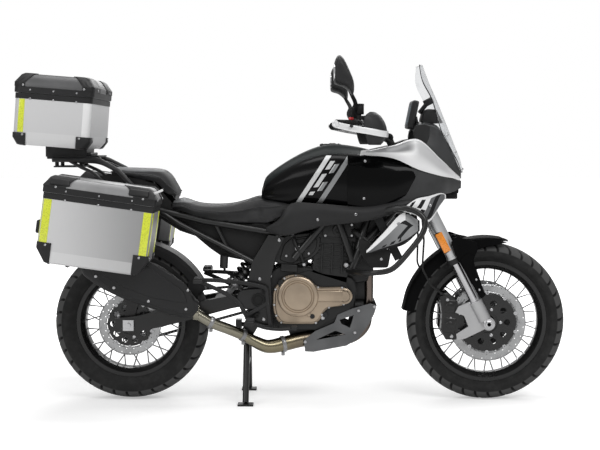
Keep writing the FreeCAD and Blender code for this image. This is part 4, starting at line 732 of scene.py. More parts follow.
KEPT_NODES = {
    # finish: CAD nodes whose solids show
    "frame_black": ("main_frame", "subframe", "swingarm", "crash_bars", "side_stand", "centre_stand"),
    "fork_silver": ("fork_tubes",),
    "fork_stanchion": ("fork_legs",),
    "cast_black": ("yokes", "footrests", "luggage_rack"),
    "matt_black": ("handlebar", "tail_unit"),
    "hose_rubber": ("brake_hoses",),
    "bolt_steel": ("rear_axle",),
    "core_metal": ("radiator",),
    "stainless": ("exhaust_pipe",),
    "skid_grey": ("skid_plate",),
    "caliper_black": ("front_calipers", "rear_caliper"),
    "black_plastic": ("bar_controls", "handguards", "mirrors", "rear_hugger", "dashboard", "case_guards"),
    "gloss_black": ("front_fender", "tank_shrouds", "side_covers"),
    "nose_grey": ("nose_cowl",),
    "lamp_clear": ("lamps",),
    "screen_clear": ("windscreen",),
    "tank_paint": ("fuel_tank",),
    "fairing_paint": ("upper_fairings",),
    "white_plastic": ("wings",),
    "engine_black": ("engine",),
    "engine_bronze": ("engine_covers",),
    "seat_rider": ("rider_seat",),
    "seat_pillion": ("pillion_seat",),
    "silencer_black": ("silencer",),
    "spring_steel": ("shock_absorber",),
    "sprocket_steel": ("rear_sprocket", "chain"),
    "disc_front": ("front_discs",),
    "disc_rear": ("rear_disc",),
    "case_aluminium": ("pannier_left", "pannier_right", "pannier_lid_left", "pannier_lid_right", "top_box",
                       "top_box_lid"),
    "rim_black": ("front_wheel", "rear_wheel"),
    "tyre_front": ("front_tyre",),
    "tyre_rear": ("rear_tyre",),
}


class BIKE_OT_kept_parts(Operator):
    """Finishes for the solids that show as they are"""
    bl_idname = "bike.kept_parts"
    bl_label = "Kept parts"

    def execute(self, context):
        for name, nodes in KEPT_NODES.items():
            finish_node(finish(name), *nodes)
        return {"FINISHED"}


# ---------------------------------------------------------------- wheels
def tread_tyre(centre, radius, width, bead, rim_half, pitches, depth):
    """A tyre: its profile turned about the axle, less a depth where frac(pitches t/2pi + curve |s|)
    is near 1/2.
    """
    half = width / 2
    side = [(rim_half - 2, bead + 4), (rim_half + 3, bead + 16), (half * 0.95, bead + 0.36 * (radius - bead)),
            (half * 0.995, bead + 0.58 * (radius - bead)), (half * 0.955, radius - 21),
            (half * 0.80, radius - 11.5), (half * 0.56, radius - 5.2), (half * 0.28, radius - 1.1),
            (0, radius)]
    outer = spline([(-y, r) for y, r in side] + [(y, r) for y, r in side[-2::-1]], 57)
    outer[:, 1] = np.minimum(outer[:, 1], radius)
    inner = np.array([(rim_half - 12, bead + 6), (half * 0.7, radius - 24), (-half * 0.7, radius - 24),
                      (-rim_half + 12, bead + 6)])
    profile = np.concatenate([outer, inner])
    turn = np.linspace(0, 2 * np.pi, pitches * 24, endpoint=False)[:, None]
    y, r = profile[:, 0][None], profile[:, 1][None]
    s = y / half
    phase = turn * pitches / (2 * np.pi) + 0.62 * np.abs(s) ** 1.5 + 0.25 * np.sign(s)
    near = np.abs(phase % 1 - 0.5)
    long_one = (np.floor(phase) % 2) == 0
    inside = (np.abs(s) < 0.992) & (np.abs(s) > np.where(long_one, 0.1, 0.42)) & (r > radius - 33)
    cut = np.clip((0.13 - near) / 0.05, 0, 1) * inside
    belt = np.clip((0.025 - np.abs(np.abs(s) - 0.2)) / 0.01, 0, 1) * (r > radius - 6)
    r = r - depth * np.maximum(cut, belt * 0.8)
    points = np.stack([centre[0] + r * np.cos(turn), centre[1] + y + 0 * turn, centre[2] + r * np.sin(turn)],
                      -1)
    return Form().grid(points, wrap_u=True, wrap_v=True), np.maximum(cut, belt) + 0 * turn


def rim(centre, bead, rim_half, inner):
    """A drop-centre rim with rolled flanges and a raised band for the spoke nipples."""
    edge, lip = rim_half + 4, bead + 13
    right = [(edge, lip - 2), (edge, bead - 5), (edge - 5, bead - 10), (rim_half * 0.62, inner + 3),
             (rim_half * 0.42, inner), (0, inner + 1)]
    top = [(0, inner + 7), (rim_half * 0.4, inner + 6), (rim_half * 0.7, bead - 8), (rim_half - 1, bead - 2),
           (rim_half, lip - 2), (rim_half + 2, lip)]
    profile = [(y, r) for y, r in right] + [(-y, r) for y, r in right[-2::-1]]
    profile += [(-y, r) for y, r in top[::-1]] + [(y, r) for y, r in top[1:]]
    return Form().revolve(profile, centre, Y, 144, closed=True)


def lacing(centre, inner, rim_half, flange_r, flange_y):
    """Spoke ends: 36 rim holes, and hub holes a few pitches round, in crossing pairs."""
    i = np.arange(36)
    a = np.radians(i * 10.0)
    side = np.where((i // 2) % 2, 1.0, -1.0)
    lean = a + np.radians(10.0) * 7.4 * np.where(i % 2, 1.0, -1.0)
    outer = np.stack([(inner + 3) * np.cos(a), side * rim_half * 0.2, (inner + 3) * np.sin(a)], -1)
    hub = np.stack([(flange_r - 5) * np.cos(lean), side * (flange_y - 3), (flange_r - 5) * np.sin(lean)], -1)
    return centre + hub, centre + outer


def wheel_pieces(prefix, body, centre, bead, rim_half, inner, barrel_r, flange_r, flange_y, drums):
    """A laced wheel: rim, spokes with nipples and a turned hub."""
    piece(prefix + "_rim", rim(centre, bead, rim_half, inner), "wheel_metal", "rim_black",
          (prefix + "_wheel",), body=body)
    start, end = lacing(centre, inner, rim_half, flange_r, flange_y)
    spokes, nipples = Form(), Form()
    for a, b in zip(start, end):
        way = unit(b - a)
        spokes.tube([a, a + way * 8, b], [3.0, 2.5, 2.5], 6)
        nipples.revolve([(-15, 0.1), (-15, 3.1), (-4, 3.4), (-2, 4.6), (2, 4.6), (2, 0.1)], b, way, 8)
    piece(prefix + "_spokes", spokes, "wheel_metal", "spoke_steel", body=body)
    piece(prefix + "_nipples", nipples, "wheel_metal", "bolt_steel", body=body)
    f, g = flange_y, flange_r
    right = [(0, barrel_r), (f - 14, barrel_r + 3), (f - 9, g - 8), (f - 7, g - 1), (f - 5, g), (f - 2, g),
             (f, g - 2), (f, g - 14)]
    profile = [(-y, r) for y, r in right[::-1]] + right[1:] + [(f, 11), (-f, 11)]
    hub = Form().revolve(profile, centre, Y, 72, closed=True)
    for low, high, r in drums:
        ring = [(low, 11.5), (low, r - 2), (low + 2, r), (high - 2, r), (high, r - 2), (high, 11.5)]
        hub.revolve(ring, centre, Y, 60, closed=True)
    piece(prefix + "_hub", hub, "wheel_metal", "rim_black", body=body)


def drilled_band(form, centre, y, thickness, inner, outer, rows, count, hole, twist=0.0):
    """A flat ring drilled in rows: each cell runs from its edge to its hole as (1-v) edge + v circle."""
    t = np.linspace(0, 2 * np.pi, 16, endpoint=False)
    radii = np.linspace(inner, outer, rows + 1)
    for row in range(rows):
        low, high = radii[row], radii[row + 1]
        mid = (low + high) / 2
        step = 2 * np.pi / count
        base = (np.arange(count) + (0.5 if row % 2 else 0.0)) * step + twist
        reach = np.maximum(np.abs(np.cos(t)), np.abs(np.sin(t)))
        edge_r = mid + (high - low) / 2 * np.cos(t) / reach
        edge_a = base[:, None] + step / 2 * (np.sin(t) / reach)[None]
        edge = np.stack([edge_r[None] * np.cos(edge_a), edge_r[None] * np.sin(edge_a)], -1)
        out, onward = np.stack([np.cos(base), np.sin(base)], -1), np.stack([-np.sin(base), np.cos(base)], -1)
        away, aside = (mid + hole * np.cos(t))[None, :, None], (hole * np.sin(t))[None, :, None]
        circle = away * out[:, None] + aside * onward[:, None]
        for k in range(count):
            rings = [(edge[k], -1), (circle[k], -1), (circle[k], 1), (edge[k], 1)]
            points = np.array([np.stack([centre[0] + p[:, 0], np.full(16, y + s * thickness / 2),
                                         centre[2] + p[:, 1]], -1)
                               for p, s in rings])
            form.grid(points, wrap_v=True)
    for r in (inner, outer):
        form.revolve([(y - thickness / 2, r), (y + thickness / 2, r)], centre, Y, count * 4)
    return form


def disc_pieces(prefix, body, node, steel, centre, y, radius, track, count):
    """A brake disc: a drilled ring, a black spider with windows, and the rivets that join them."""
    slot, bolt_circle = "disc_steel", 56
    ring = drilled_band(Form(), centre, y, DISC_T, radius - track, radius, 2, count, 2.4)
    piece(prefix, ring, slot, steel, (node,), body=body)
    carrier = drilled_band(Form(), centre, y, 4.0, bolt_circle - 12, radius - track - 3, 1, 10, 13.0)
    piece(prefix + "_carrier", carrier, slot, "rim_black", bevel=0.8, body=body)
    rivets, bolts = Form(), Form()
    face = y + np.sign(y) * DISC_T / 2
    for angle in np.radians(np.arange(10) * 36.0 + 18):
        way = at(math.cos(angle), 0, math.sin(angle))
        spot = centre + way * (radius - track - 1)
        rivets.revolve([(-4.2, 0.1), (-4.2, 6.5), (-3.4, 7.5), (3.4, 7.5), (4.2, 6.5), (4.2, 4), (1.5, 3.4),
                        (1.5, 0.1)],
                       spot + Y * y, Y * np.sign(y), 14)
    for angle in np.radians(np.arange(5) * 72.0):
        way = at(math.cos(angle), 0, math.sin(angle))
        bolts.bolt(centre + way * bolt_circle + Y * face, Y * np.sign(y), 6.5, 2.6)
    piece(prefix + "_rivets", rivets, slot, "bolt_steel", body=body)
    piece(prefix + "_bolts", bolts, slot, "bolt_steel", body=body)


class BIKE_OT_wheels(Operator):
    """Grooved tyres on laced rims, with drilled brake discs"""
    bl_idname = "bike.wheels"
    bl_label = "Wheels"

    def execute(self, context):
        sizes = context.scene.bike_sizes
        depth = sizes.tread_depth / MM
        for word, body, axle, radius, width, bead, rim_half, grooves, deeper, *_ in WHEELS:
            form, groove = tread_tyre(axle, radius, width, bead, rim_half, grooves, depth + deeper)
            made = piece(word + "_tyre_tread", form, "tyre_rubber", "tyre_" + word, (word + "_tyre",), 28,
                         body=body)
            cut = made.data.attributes.new("groove", "FLOAT", "POINT")
            cut.data.foreach_set("value", groove.ravel().astype(np.float32))
        for word, body, axle, _, _, bead, rim_half, _, _, *hub in WHEELS:
            wheel_pieces(word, body, axle, bead, rim_half, *hub)
        for side, word in ((RIGHT, "right"), (LEFT, "left")):
            disc_pieces("front_disc_" + word, FRONT_SET, "front_discs", "disc_front", FRONT_AXLE,
                        side * 72.0, 160, 36, 24)
        disc_pieces("rear_disc_ring", REAR_SET, "rear_disc", "disc_rear", REAR_AXLE, -90.0, 130, 34, 22)
        return {"FINISHED"}


# ---------------------------------------------------------------- the studio
AIM = Vector((0.0, 0.0, 0.6))


class BIKE_OT_studio(Operator):
    """A pale floor, soft lamps, a white surround and the camera"""
    bl_idname = "bike.studio"
    bl_label = "Studio"

    def execute(self, context):
        scene, look = context.scene, context.scene.bike_look
        paint = Paint("studio_floor")
        path = paint.node("LightPath", {}, {}, "Is Camera Ray")
        glossy = paint.node("LightPath", {}, {}, "Is Glossy Ray")
        grain = paint.noise(40.0, 3.0)
        away = ((paint.x * paint.x + paint.y * paint.y) ** 0.5).ramp(0.9, 3.4)
        glow = paint.mix(away, (0.40, 0.40, 0.40), (1.0, 1.0, 1.0))
        paint.set(Base_Color=paint.mix(grain, (0.80, 0.80, 0.80), (0.82, 0.82, 0.82)),
                  Roughness=grain * 0.1 + 0.8, Specular_IOR_Level=0.0,
                  Emission_Color=paint.mix(path.either(glossy * 0.3), (0.0, 0.0, 0.0), glow),
                  Emission_Strength=1.0)
        bpy.ops.mesh.primitive_grid_add(x_subdivisions=2, y_subdivisions=2, size=60.0)
        floor = context.object
        floor.name = "floor"
        floor.data.materials.append(paint.material)
        scene.world = bpy.data.worlds.new("surround")
        scene.world.use_nodes = True
        around = Nodes(scene.world.node_tree)
        seen, glossy, through = (around.node("LightPath", {}, {}, f"Is {word} Ray")
                                 for word in ("Camera", "Glossy", "Transmission"))
        level = around.node("MapRange", {}, {0: seen.either(through) + glossy * 0.25, 3: look.fill_light,
                                             4: 1.0})
        shade = around.tree.nodes["Background"]
        around.feed(shade.inputs["Color"], (1.0, 1.0, 1.0))
        around.feed(shade.inputs["Strength"], level)
        for name, spot, size, power in (("key", (2.2, -4.2, 4.4), (3.2, 2.2), 135.0),
                                        ("side", (-3.4, -3.6, 3.0), (2.4, 2.6), 62.0),
                                        ("back", (0.4, 4.6, 3.6), (4.0, 2.4), 115.0),
                                        ("top", (0.0, 0.0, 4.6), (4.2, 1.6), 88.0)):
            lamp = bpy.data.lights.new(name, "AREA")
            lamp.shape, lamp.size, lamp.size_y, lamp.energy = "RECTANGLE", *size, power * look.lamp_level
            holder = bpy.data.objects.new(name, lamp)
            holder.location = spot
            holder.rotation_euler = (AIM - Vector(spot)).to_track_quat("-Z", "Y").to_euler()
            scene.collection.objects.link(holder)
        camera = bpy.data.cameras.new("camera")
        camera.lens, camera.sensor_width = 76.1, 36.0
        eye = bpy.data.objects.new("camera", camera)
        eye.location = (0.057, -5.3, 1.084)
        eye.rotation_euler = (math.radians(90 - 3.83), 0.0, math.radians(0.36))
        scene.collection.objects.link(eye)
        scene.camera = eye
        scene.view_settings.view_transform = "Standard"
        return {"FINISHED"}


# ---------------------------------------------------------------- bodywork
def panel(table, side, rows=40, columns=14):
    """A body panel on one side: stations of (x, (reach, z) ...) joined by a cubic in both directions."""
    points = np.array([[(x, side * reach, z) for reach, z in row] for x, row in table])
    return spline_grid(points, rows, columns)


def panel_pieces(name, table, slot, paint, nodes=(), wall=3.6, body=CHASSIS, edge=1.4, rows=40, columns=14):
    """The right and left copies of a panel, with their own coordinates, a wall and eased rims."""
    u, v = np.meshgrid(np.linspace(0, 1, rows), np.linspace(0, 1, columns), indexing="ij")
    axes = np.stack([u.ravel(), v.ravel()], -1)
    for side, word in ((RIGHT, "right"), (LEFT, "left")):
        made = piece(f"{name}_{word}", Form().grid(panel(table, side, rows, columns)), slot, paint,
                     nodes if side == RIGHT else (), 60, wall, edge, body)
        mesh = made.data
        corner = np.empty(len(mesh.loops), int)
        mesh.loops.foreach_get("vertex_index", corner)
        mesh.uv_layers.new(name="panel").data.foreach_set("uv", axes[corner].ravel())


SHROUD = [(216, ((176, 1030), (203, 985), (207, 930), (204, 870), (190, 824))),
          (300, ((182, 1022), (207, 980), (213, 924), (210, 868), (200, 818))),
          (400, ((184, 1012), (210, 974), (217, 930), (215, 878), (206, 836))),
          (462, ((184, 1001), (206, 974), (213, 938), (211, 902), (204, 872))),
          (486, ((186, 988), (204, 967), (211, 942), (210, 918), (205, 902))),
          (497, ((190, 968), (203, 958), (208, 947), (207, 937), (203, 930)))]
FAIRING = [(290, ((178, 1038), (186, 1036), (192, 1033), (195, 1030), (196, 1026))),
           (400, ((170, 1062), (190, 1052), (206, 1036), (213, 1024), (214, 1010))),
           (500, ((160, 1087), (184, 1068), (201, 1040), (211, 1004), (214, 966))),
           (590, ((138, 1012), (158, 996), (171, 976), (182, 958), (186, 940))),
           (650, ((92, 958), (104, 953), (113, 944), (119, 935), (122, 928))),
           (683, ((58, 932), (66, 929), (74, 925), (80, 920), (83, 914)))]
NOSE_SIDE = [(380, ((196, 960), (205, 936), (206, 902), (204, 862), (202, 826))),
             (450, ((198, 990), (206, 950), (207, 912), (205, 868), (203, 832))),
             (500, ((200, 1000), (209, 950), (210, 908), (208, 870), (203, 843))),
             (590, ((180, 946), (183, 922), (178, 900), (170, 880), (160, 862))),
             (640, ((126, 931), (130, 914), (126, 896), (119, 882), (110, 870))),
             (686, ((82, 917), (84, 908), (82, 900), (80, 893), (78, 887)))]
SIDE_COVER = [(-114, ((150, 728), (152, 724), (152, 722), (151, 720), (150, 717))),
              (-60, ((172, 764), (178, 748), (178, 730), (174, 714), (166, 700))),
              (-10, ((180, 828), (190, 796), (191, 764), (184, 730), (171, 702))),
              (100, ((188, 828), (199, 806), (201, 780), (195, 756), (183, 735))),
              (280, ((198, 816), (209, 802), (213, 786), (211, 770), (203, 757))),
              (420, ((205, 840), (213, 830), (217, 819), (215, 808), (207, 797))),
              (490, ((203, 846), (205, 844), (206, 843), (206, 841), (204, 839)))]
UPPER_WING = [(440, ((225, 813), (227, 810), (228, 806), (228, 803), (226, 799))),
              (490, ((221, 848), (229, 832), (232, 814), (231, 798), (227, 783))),
              (540, ((195, 858), (207, 832), (214, 804), (217, 778), (215, 755))),
              (592, ((165, 870), (171, 858), (176, 846), (180, 833), (182, 821))),
              (616, ((150, 863), (151, 860), (152, 857), (153, 854), (154, 851)))]
LOWER_WING = [(291, ((239, 641), (241, 638), (242, 634), (242, 632), (240, 629))),
              (360, ((235, 714), (243, 699), (246, 681), (245, 663), (239, 647))),
              (440, ((227, 794), (237, 764), (242, 732), (241, 698), (235, 666))),
              (505, ((218, 762), (222, 751), (224, 741), (224, 731), (222, 721)))]
TANK = [(-134, 884, 844, 44, 78, 864, 74), (-110, 938, 838, 60, 104, 882, 100),
        (-17, 1004, 826, 70, 146, 918, 132), (78, 1050, 826, 84, 174, 936, 150),
        (160, 1067, 824, 86, 190, 944, 164), (262, 1056, 818, 84, 196, 944, 178),
        (340, 1036, 826, 70, 190, 940, 176)]


def tank_body():
    """The tank: a ring at each station, from the table's top, middle and foot, made a smooth tube."""
    rows = []
    for x, top, foot, top_half, half, middle, foot_half in TANK:
        rise = top - middle
        right = [(0.0, top), (top_half * 0.62, top - 1.5), (top_half * 1.02, top - rise * 0.14),
                 (half * 0.82, middle + rise * 0.62), (half * 0.97, middle + rise * 0.26),
                 (half, middle - 6), (half * 0.985, (middle + foot) / 2), (foot_half, foot + 3),
                 (foot_half * 0.5, foot)]
        ring = [(x, -y, z) for y, z in right] + [(x, 0.0, foot)] + [(x, y, z) for y, z in right[:0:-1]]
        rows.append(ring)
    return lofted(rows, 64, 120)


def tank_cap(form_ring, form_lid, top):
    """The filler: a bolted collar, a domed lid and a key flap."""
    spot = at(150, 0, top)
    form_ring.revolve([(-9, 44), (1, 44), (3, 41), (3, 35), (-1, 34), (-9, 34)], spot, Z, 72, closed=True)
    form_lid.revolve([(-6, 33), (1.5, 33), (3.6, 28), (4, 12), (4, 0.1)], spot, Z, 60)
    form_lid.pillow(spot + (9, 0, 4.6), (13, 7, 1.4), 1.2)
    for a in np.radians(np.arange(6) * 60.0 + 30):
        form_ring.bolt(spot + at(39.5 * math.cos(a), 39.5 * math.sin(a), 3.0), Z, 2.6, 1.6)


class BIKE_OT_bodywork(Operator):
    """Tank, shrouds, fairings, nose, wings and side covers as smooth shells"""
    bl_idname = "bike.bodywork"
    bl_label = "Bodywork"

    def execute(self, context):
        piece("tank_shell", tank_body(), "gloss_black", "tank_paint", ("fuel_tank",), 40)
        ring, lid = Form(), Form()
        tank_cap(ring, lid, 1065.5)
        piece("tank_collar", ring, "gloss_black", "matt_black")
        piece("tank_lid", lid, "gloss_black", "cast_black")
        panel_pieces("shroud", SHROUD, "gloss_black", "gloss_black", ("tank_shrouds",))
        panel_pieces("fairing", FAIRING, "silver_paint", "fairing_paint", ("upper_fairings",), wall=3.0)
        panel_pieces("nose", NOSE_SIDE, "nose_grey", "nose_grey", wall=3.0)
        panel_pieces("side_cover", SIDE_COVER, "black_plastic", "black_plastic", ("side_covers",))
        panel_pieces("upper_wing", UPPER_WING, "white_plastic", "upper_wing_paint", ("wings",), wall=3.0)
        panel_pieces("lower_wing", LOWER_WING, "white_plastic", "lower_wing_paint", wall=3.0)
        bracket = rounded([(262, 690), (265, 632), (307, 571), (380, 571), (392, 640)], 12)
        plates, bolts = Form(), Form()
        for side in BOTH:
            plates.plate(bracket, side * 209, side * 217, Y, 1.5)
            for x, z, reach in ((352, 606, 217), (418, 752, 241), (548, 822, 214), (96, 764, 200),
                                (250, 786, 211)):
                bolts.bolt(at(x, side * reach, z), Y * side, 6.0, 4.0)
            bolts.bolts(((286, 1000), (282, 850)), 208.0, side, 5.5, 3.0)
        tabs = Form()
        for side in BOTH:
            tabs.plate([(270, 1041), (306, 1047), (302, 1027), (266, 1021)], side * 180, side * 184.5, Y, 0.8)
        piece("fairing_tabs", tabs, "white_plastic")
        floor = Form()
        for start, end, half in ((-4, 92, 180), (88, 232, 191)):
            floor.plate([(start, 803), (end, 803), (end, 811), (start, 811)], -half, half, Y, 1.5)
        piece("tank_floor", floor, "black_plastic", "matt_black")
        piece("wing_brackets", plates, "black_plastic", "matt_black")
        piece("panel_bolts", bolts, "axle_steel", "bolt_steel")
        return {"FINISHED"}


# ---------------------------------------------------------------- seats
RIDER_SEAT = [(-504, 842, 800, 118, 96), (-460, 844, 790, 136, 118), (-400, 824, 764, 140, 124),
              (-330, 818, 752, 138, 124), (-258, 822, 744, 128, 120), (-200, 836, 741, 114, 118),
              (-150, 852, 740, 100, 116), (-104, 852, 744, 122, 130), (-56, 846, 768, 144, 144),
              (-8, 838, 799, 154, 150)]
PILLION_SEAT = [(-754, 972, 940, 96, 80), (-640, 968, 926, 122, 108), (-560, 964, 908, 130, 120),
                (-520, 946, 862, 128, 120), (-480, 884, 850, 118, 112)]


def seat_body(table, crown, shrink=0.0):
    """A saddle: at each station a crowned top, rounded shoulders and sides that draw in to the foot."""
    rows = []
    for x, top, foot, top_half, foot_half in table:
        t, f, b = top_half - shrink, foot_half - shrink, foot + shrink
        h = top - shrink
        right = [(0.0, h), (t * 0.45, h - crown * 0.15), (t * 0.8, h - crown * 0.8),
                 (t * 0.97, h - crown * 2.2), (t * 1.0, h - (h - b) * 0.5), (f * 1.0, b + 5), (f * 0.96, b)]
        rows.append([(x, -y, z) for y, z in right] + [(x, 0.0, b)] + [(x, y, z) for y, z in right[:0:-1]])
    return lofted(rows, 70, 96)


def stuffed(name, form, slot, paint, nodes, pressure, cap_mm):
    """Foam under vinyl: remeshed, blown up by the cloth solver, its growth capped, then smoothed."""
    made = piece(name, form, slot, paint, nodes, 180)
    made.parent = None
    mesh = made.data
    remesh = made.modifiers.new("remesh", "REMESH")
    remesh.mode, remesh.voxel_size = "VOXEL", 0.0055
    graph = bpy.context.evaluated_depsgraph_get()
    rebuilt = bpy.data.meshes.new_from_object(made.evaluated_get(graph))
    made.modifiers.clear()
    made.data = rebuilt
    bpy.data.meshes.remove(mesh)
    start = np.empty(len(rebuilt.vertices) * 3)
    rebuilt.vertices.foreach_get("co", start)
    start = start.reshape(-1, 3)
    foot = start[:, 2].min()
    holder = made.vertex_groups.new(name="foot")
    still = np.nonzero(start[:, 2] < foot + 0.012)[0]
    holder.add(still.tolist(), 1.0, "REPLACE")
    cloth = made.modifiers.new("cloth", "CLOTH")
    setting = cloth.settings
    setting.use_pressure, setting.uniform_pressure_force = True, pressure
    setting.effector_weights.gravity = 0.0
    setting.vertex_group_mass = "foot"
    setting.quality = 4
    cloth.point_cache.frame_end = 20
    scene = bpy.context.scene
    for step in range(1, 21):
        scene.frame_set(step)
    graph = bpy.context.evaluated_depsgraph_get()
    blown = bpy.data.meshes.new_from_object(made.evaluated_get(graph))
    made.modifiers.clear()
    end = np.empty(len(blown.vertices) * 3)
    blown.vertices.foreach_get("co", end)
    move = end.reshape(-1, 3) - start
    reach = np.linalg.norm(move, axis=1, keepdims=True)
    share = np.minimum(1.0, cap_mm * MM / np.maximum(reach, 1e-9))
    rebuilt.vertices.foreach_set("co", (start + move * share).ravel())
    bpy.data.meshes.remove(blown)
    scene.frame_set(1)
    made.vertex_groups.clear()
    rebuilt.shade_smooth()
    smooth = made.modifiers.new("relax", "SMOOTH")
    smooth.factor, smooth.iterations = 0.5, 6
    soft = made.modifiers.new("soft", "SUBSURF")
    soft.levels = soft.render_levels = 1
    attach(made, CHASSIS)
    return made


def seam(form, table, height_share, radius, lift=0.0):
    """A piped seam round a seat's sides at a share of its height."""
    right = [(x, -(foot_half + (top_half - foot_half) * height_share) - lift,
              foot + (top - foot) * height_share)
             for x, top, foot, top_half, foot_half in table]
    for side in BOTH:
        form.tube(spline([(x, y * -side, z) for x, y, z in right], 60), radius, 8, hint=Z)
    return form


class BIKE_OT_seats(Operator):
    """Padded rider and passenger seats with piped seams"""
    bl_idname = "bike.seats"
    bl_label = "Seats"

    def execute(self, context):
        stuffed("rider_cushion", seat_body(RIDER_SEAT, 13, 3.0), "seat_vinyl", "seat_rider", ("rider_seat",),
                3.0, 4.0)
        stuffed("passenger_cushion", seat_body(PILLION_SEAT, 14, 3.0), "seat_vinyl", "seat_pillion",
                ("pillion_seat",), 3.0, 4.0)
        pipe = Form()
        seam(pipe, RIDER_SEAT, 0.62, 1.6, 0.5)
        seam(pipe, PILLION_SEAT, 0.5, 1.6, 0.5)
        piece("seat_piping", pipe, "seat_vinyl", "seat_rider")
        return {"FINISHED"}


# ---------------------------------------------------------------- luggage
PANNIER = {"pivot": (-523.0, 827.0), "x": (-430, -7), "y": (262, 482), "floor": -269, "seam": 0.0,
           "roof": 67, "bevel": 56, "corner": 10, "taper": 34, "tilt": 8.0, "grow": 4, "lid": "lid_grey"}
TOP_BOX = {"pivot": (-794.4, 1250.0), "x": (-316, -7), "y": (-240, 240), "floor": -206, "seam": 0.0,
           "roof": 80, "bevel": 30, "corner": 30, "taper": 34, "tilt": 4.5, "grow": 4, "lid": "lid_dark"}


def tilt(points, spec):
    """Turns points given from a case's hinge by its tilt about +Y: x' = x cos + z sin, z' = z cos - x sin."""
    p, a = np.asarray(points, float), math.radians(spec["tilt"])
    x, z = p[..., 0], p[..., 2]
    return np.stack([spec["pivot"][0] + x * math.cos(a) + z * math.sin(a), p[..., 1],
                     spec["pivot"][1] + z * math.cos(a) - x * math.sin(a)], -1)


def plan(x, y, corner, z, steps=6):
    """A rounded rectangle at height z: corners are quarter circles."""
    outline = rounded([(x[0], y[0]), (x[1], y[0]), (x[1], y[1]), (x[0], y[1])], corner, steps)
    return np.concatenate([outline, np.full((len(outline), 1), z)], 1)


def grow(span, by):
    return span[0] - by, span[1] + by


def case_rings(spec, y, levels):
    """Rounded rectangles stacked at (height, inset along, inset across, corner)."""
    rings = [plan(grow(spec["x"], -a), grow(y, -b), corner, z) for z, a, b, corner in levels]
    return tilt(np.array(rings), spec)


def box_frame(spec):
    """Directions of a case's own length and height after its tilt."""
    a = math.radians(spec["tilt"])
    return at(math.cos(a), 0, -math.sin(a)), at(math.sin(a), 0, math.cos(a))


def case_pieces(prefix, spec, y, lid_node, lid_body, outer):
    """One luggage case: bevelled tray, lid with a raised roof, black bands along the seam, rivets."""
    floor, roof, bevel, corner = spec["floor"], spec["roof"], spec["bevel"], spec["corner"]
    tray = case_rings(spec, y, [(-1.5, 0, 0, corner), (-2.5, 0, 0, corner), (floor + bevel, 0, 0, corner),
                                (floor + bevel * 0.1, bevel * 0.62, 0 if outer else 4, corner),
                                (floor, bevel * 0.75, 6, corner)])
    piece(prefix + "_tray", Form().skin(tray), "case_aluminium", replaces=(prefix,), bevel=1.2)
    g = spec["grow"]
    lid = case_rings(spec, y, [(1, 0.5 - g, 0.5 - g, corner + 2), (26, -g, -g, corner + 2),
                               (roof - 38, -g, -g, corner + 2), (roof - 8, spec["taper"] * 0.5, 16,
                                   corner + 6), (roof - 2, spec["taper"] * 0.8, 24, corner + 6),
                               (roof - 2, spec["taper"] + 14, 38, corner),
                               (roof - 4.5, spec["taper"] + 18, 42, corner)])
    piece(prefix + "_lid", Form().skin(lid), "case_aluminium", spec["lid"], (lid_node,), bevel=1.0,
          body=lid_body)
    band = Form().skin(case_rings(spec, y, [(z, -g + a, -g + a, corner + 2) for z, a in
                                            ((2, 1), (2, -0.8), (3, -1.6), (25, -1.6), (26, -0.8), (26, 1))]))
    piece(prefix + "_lid_band", band, "black_plastic", body=lid_body)
    sill = Form().skin(case_rings(spec, y, [(-0.5, 1, 1, corner), (-0.5, -1.8, -1.8, corner),
                                            (-21, -1.8, -1.8, corner), (-22.5, -1.2, -1.2, corner),
                                            (-22.5, 1, 1, corner)]))
    piece(prefix + "_sill", sill, "black_plastic")
    rivets, lid_rivets = Form(), Form()
    for across in (y[0], y[1]):
        way = Y * np.sign(across - (y[0] + y[1]) / 2)
        for share in (0.2, 0.5, 0.8):
            x = spec["x"][0] + share * (spec["x"][1] - spec["x"][0])
            rivets.bolt(tilt([(x, across, -21)], spec)[0] + way * 1.2, way, 4.0, 1.8)
            lid_rivets.bolt(tilt([(x, across, 14)], spec)[0] + way * (g + 1.2), way, 3.4, 1.6)
    return rivets, lid_rivets, box_frame(spec)


def corner_shells(name, spec, y, levels, reach, body_name, nodes=(), upright=(1.0, 0.0)):
    """Moulded shells round a case's four corners, each carried on by reach along its sides and its ends.

    upright 1 keeps the inner edges on those faces in line where the case draws in; 0 lets them lean with it.
    """
    form, screws = Form(), Form()
    rings = case_rings(spec, y, levels)
    steps = rings.shape[1] // 4
    inset = np.array([row[1:3] for row in levels]) - levels[0][1:3]
    inset = (inset * upright)[:, None]
    ux = box_frame(spec)[0]
    for k in range(4):
        own = rings[:, steps * k:steps * (k + 1)]
        before, after = rings[:, steps * k - 1][:, None], rings[:, (steps * (k + 1)) % (4 * steps)][:, None]
        ways = unit(before - own[:, :1]), unit(after - own[:, -1:])
        along = [np.abs(way @ ux)[..., None] for way in ways]
        length, width = reach[0] - inset[..., :1], reach[1] - inset[..., 1:]
        start, end = (spot + way * (length * share + width * (1 - share))
                      for spot, way, share in zip((own[:, :1], own[:, -1:]), ways, along))
        form.grid(np.concatenate([start, own, end], 1))
        for edge, spot in ((start, own[:, :1]), (end, own[:, -1:])):
            head = (edge[0, 0] + spot[0, 0]) / 2 * 0.62 + (edge[1, 0] + spot[1, 0]) / 2 * 0.38
            way = unit(np.cross(spot[0, 0] - edge[0, 0], spot[0, 0] - spot[1, 0]))
            middle = rings.mean((0, 1))
            way = way * np.sign(way @ (head - middle))
            screws.bolt(head + way * 1.6, way, 4.4, 2.2)
    piece(name, form, "black_plastic", replaces=nodes, sharp=30, wall=3.0, bevel=0.8, body=body_name)
    piece(name + "_screws", screws, "axle_steel", "bolt_steel", body=body_name)


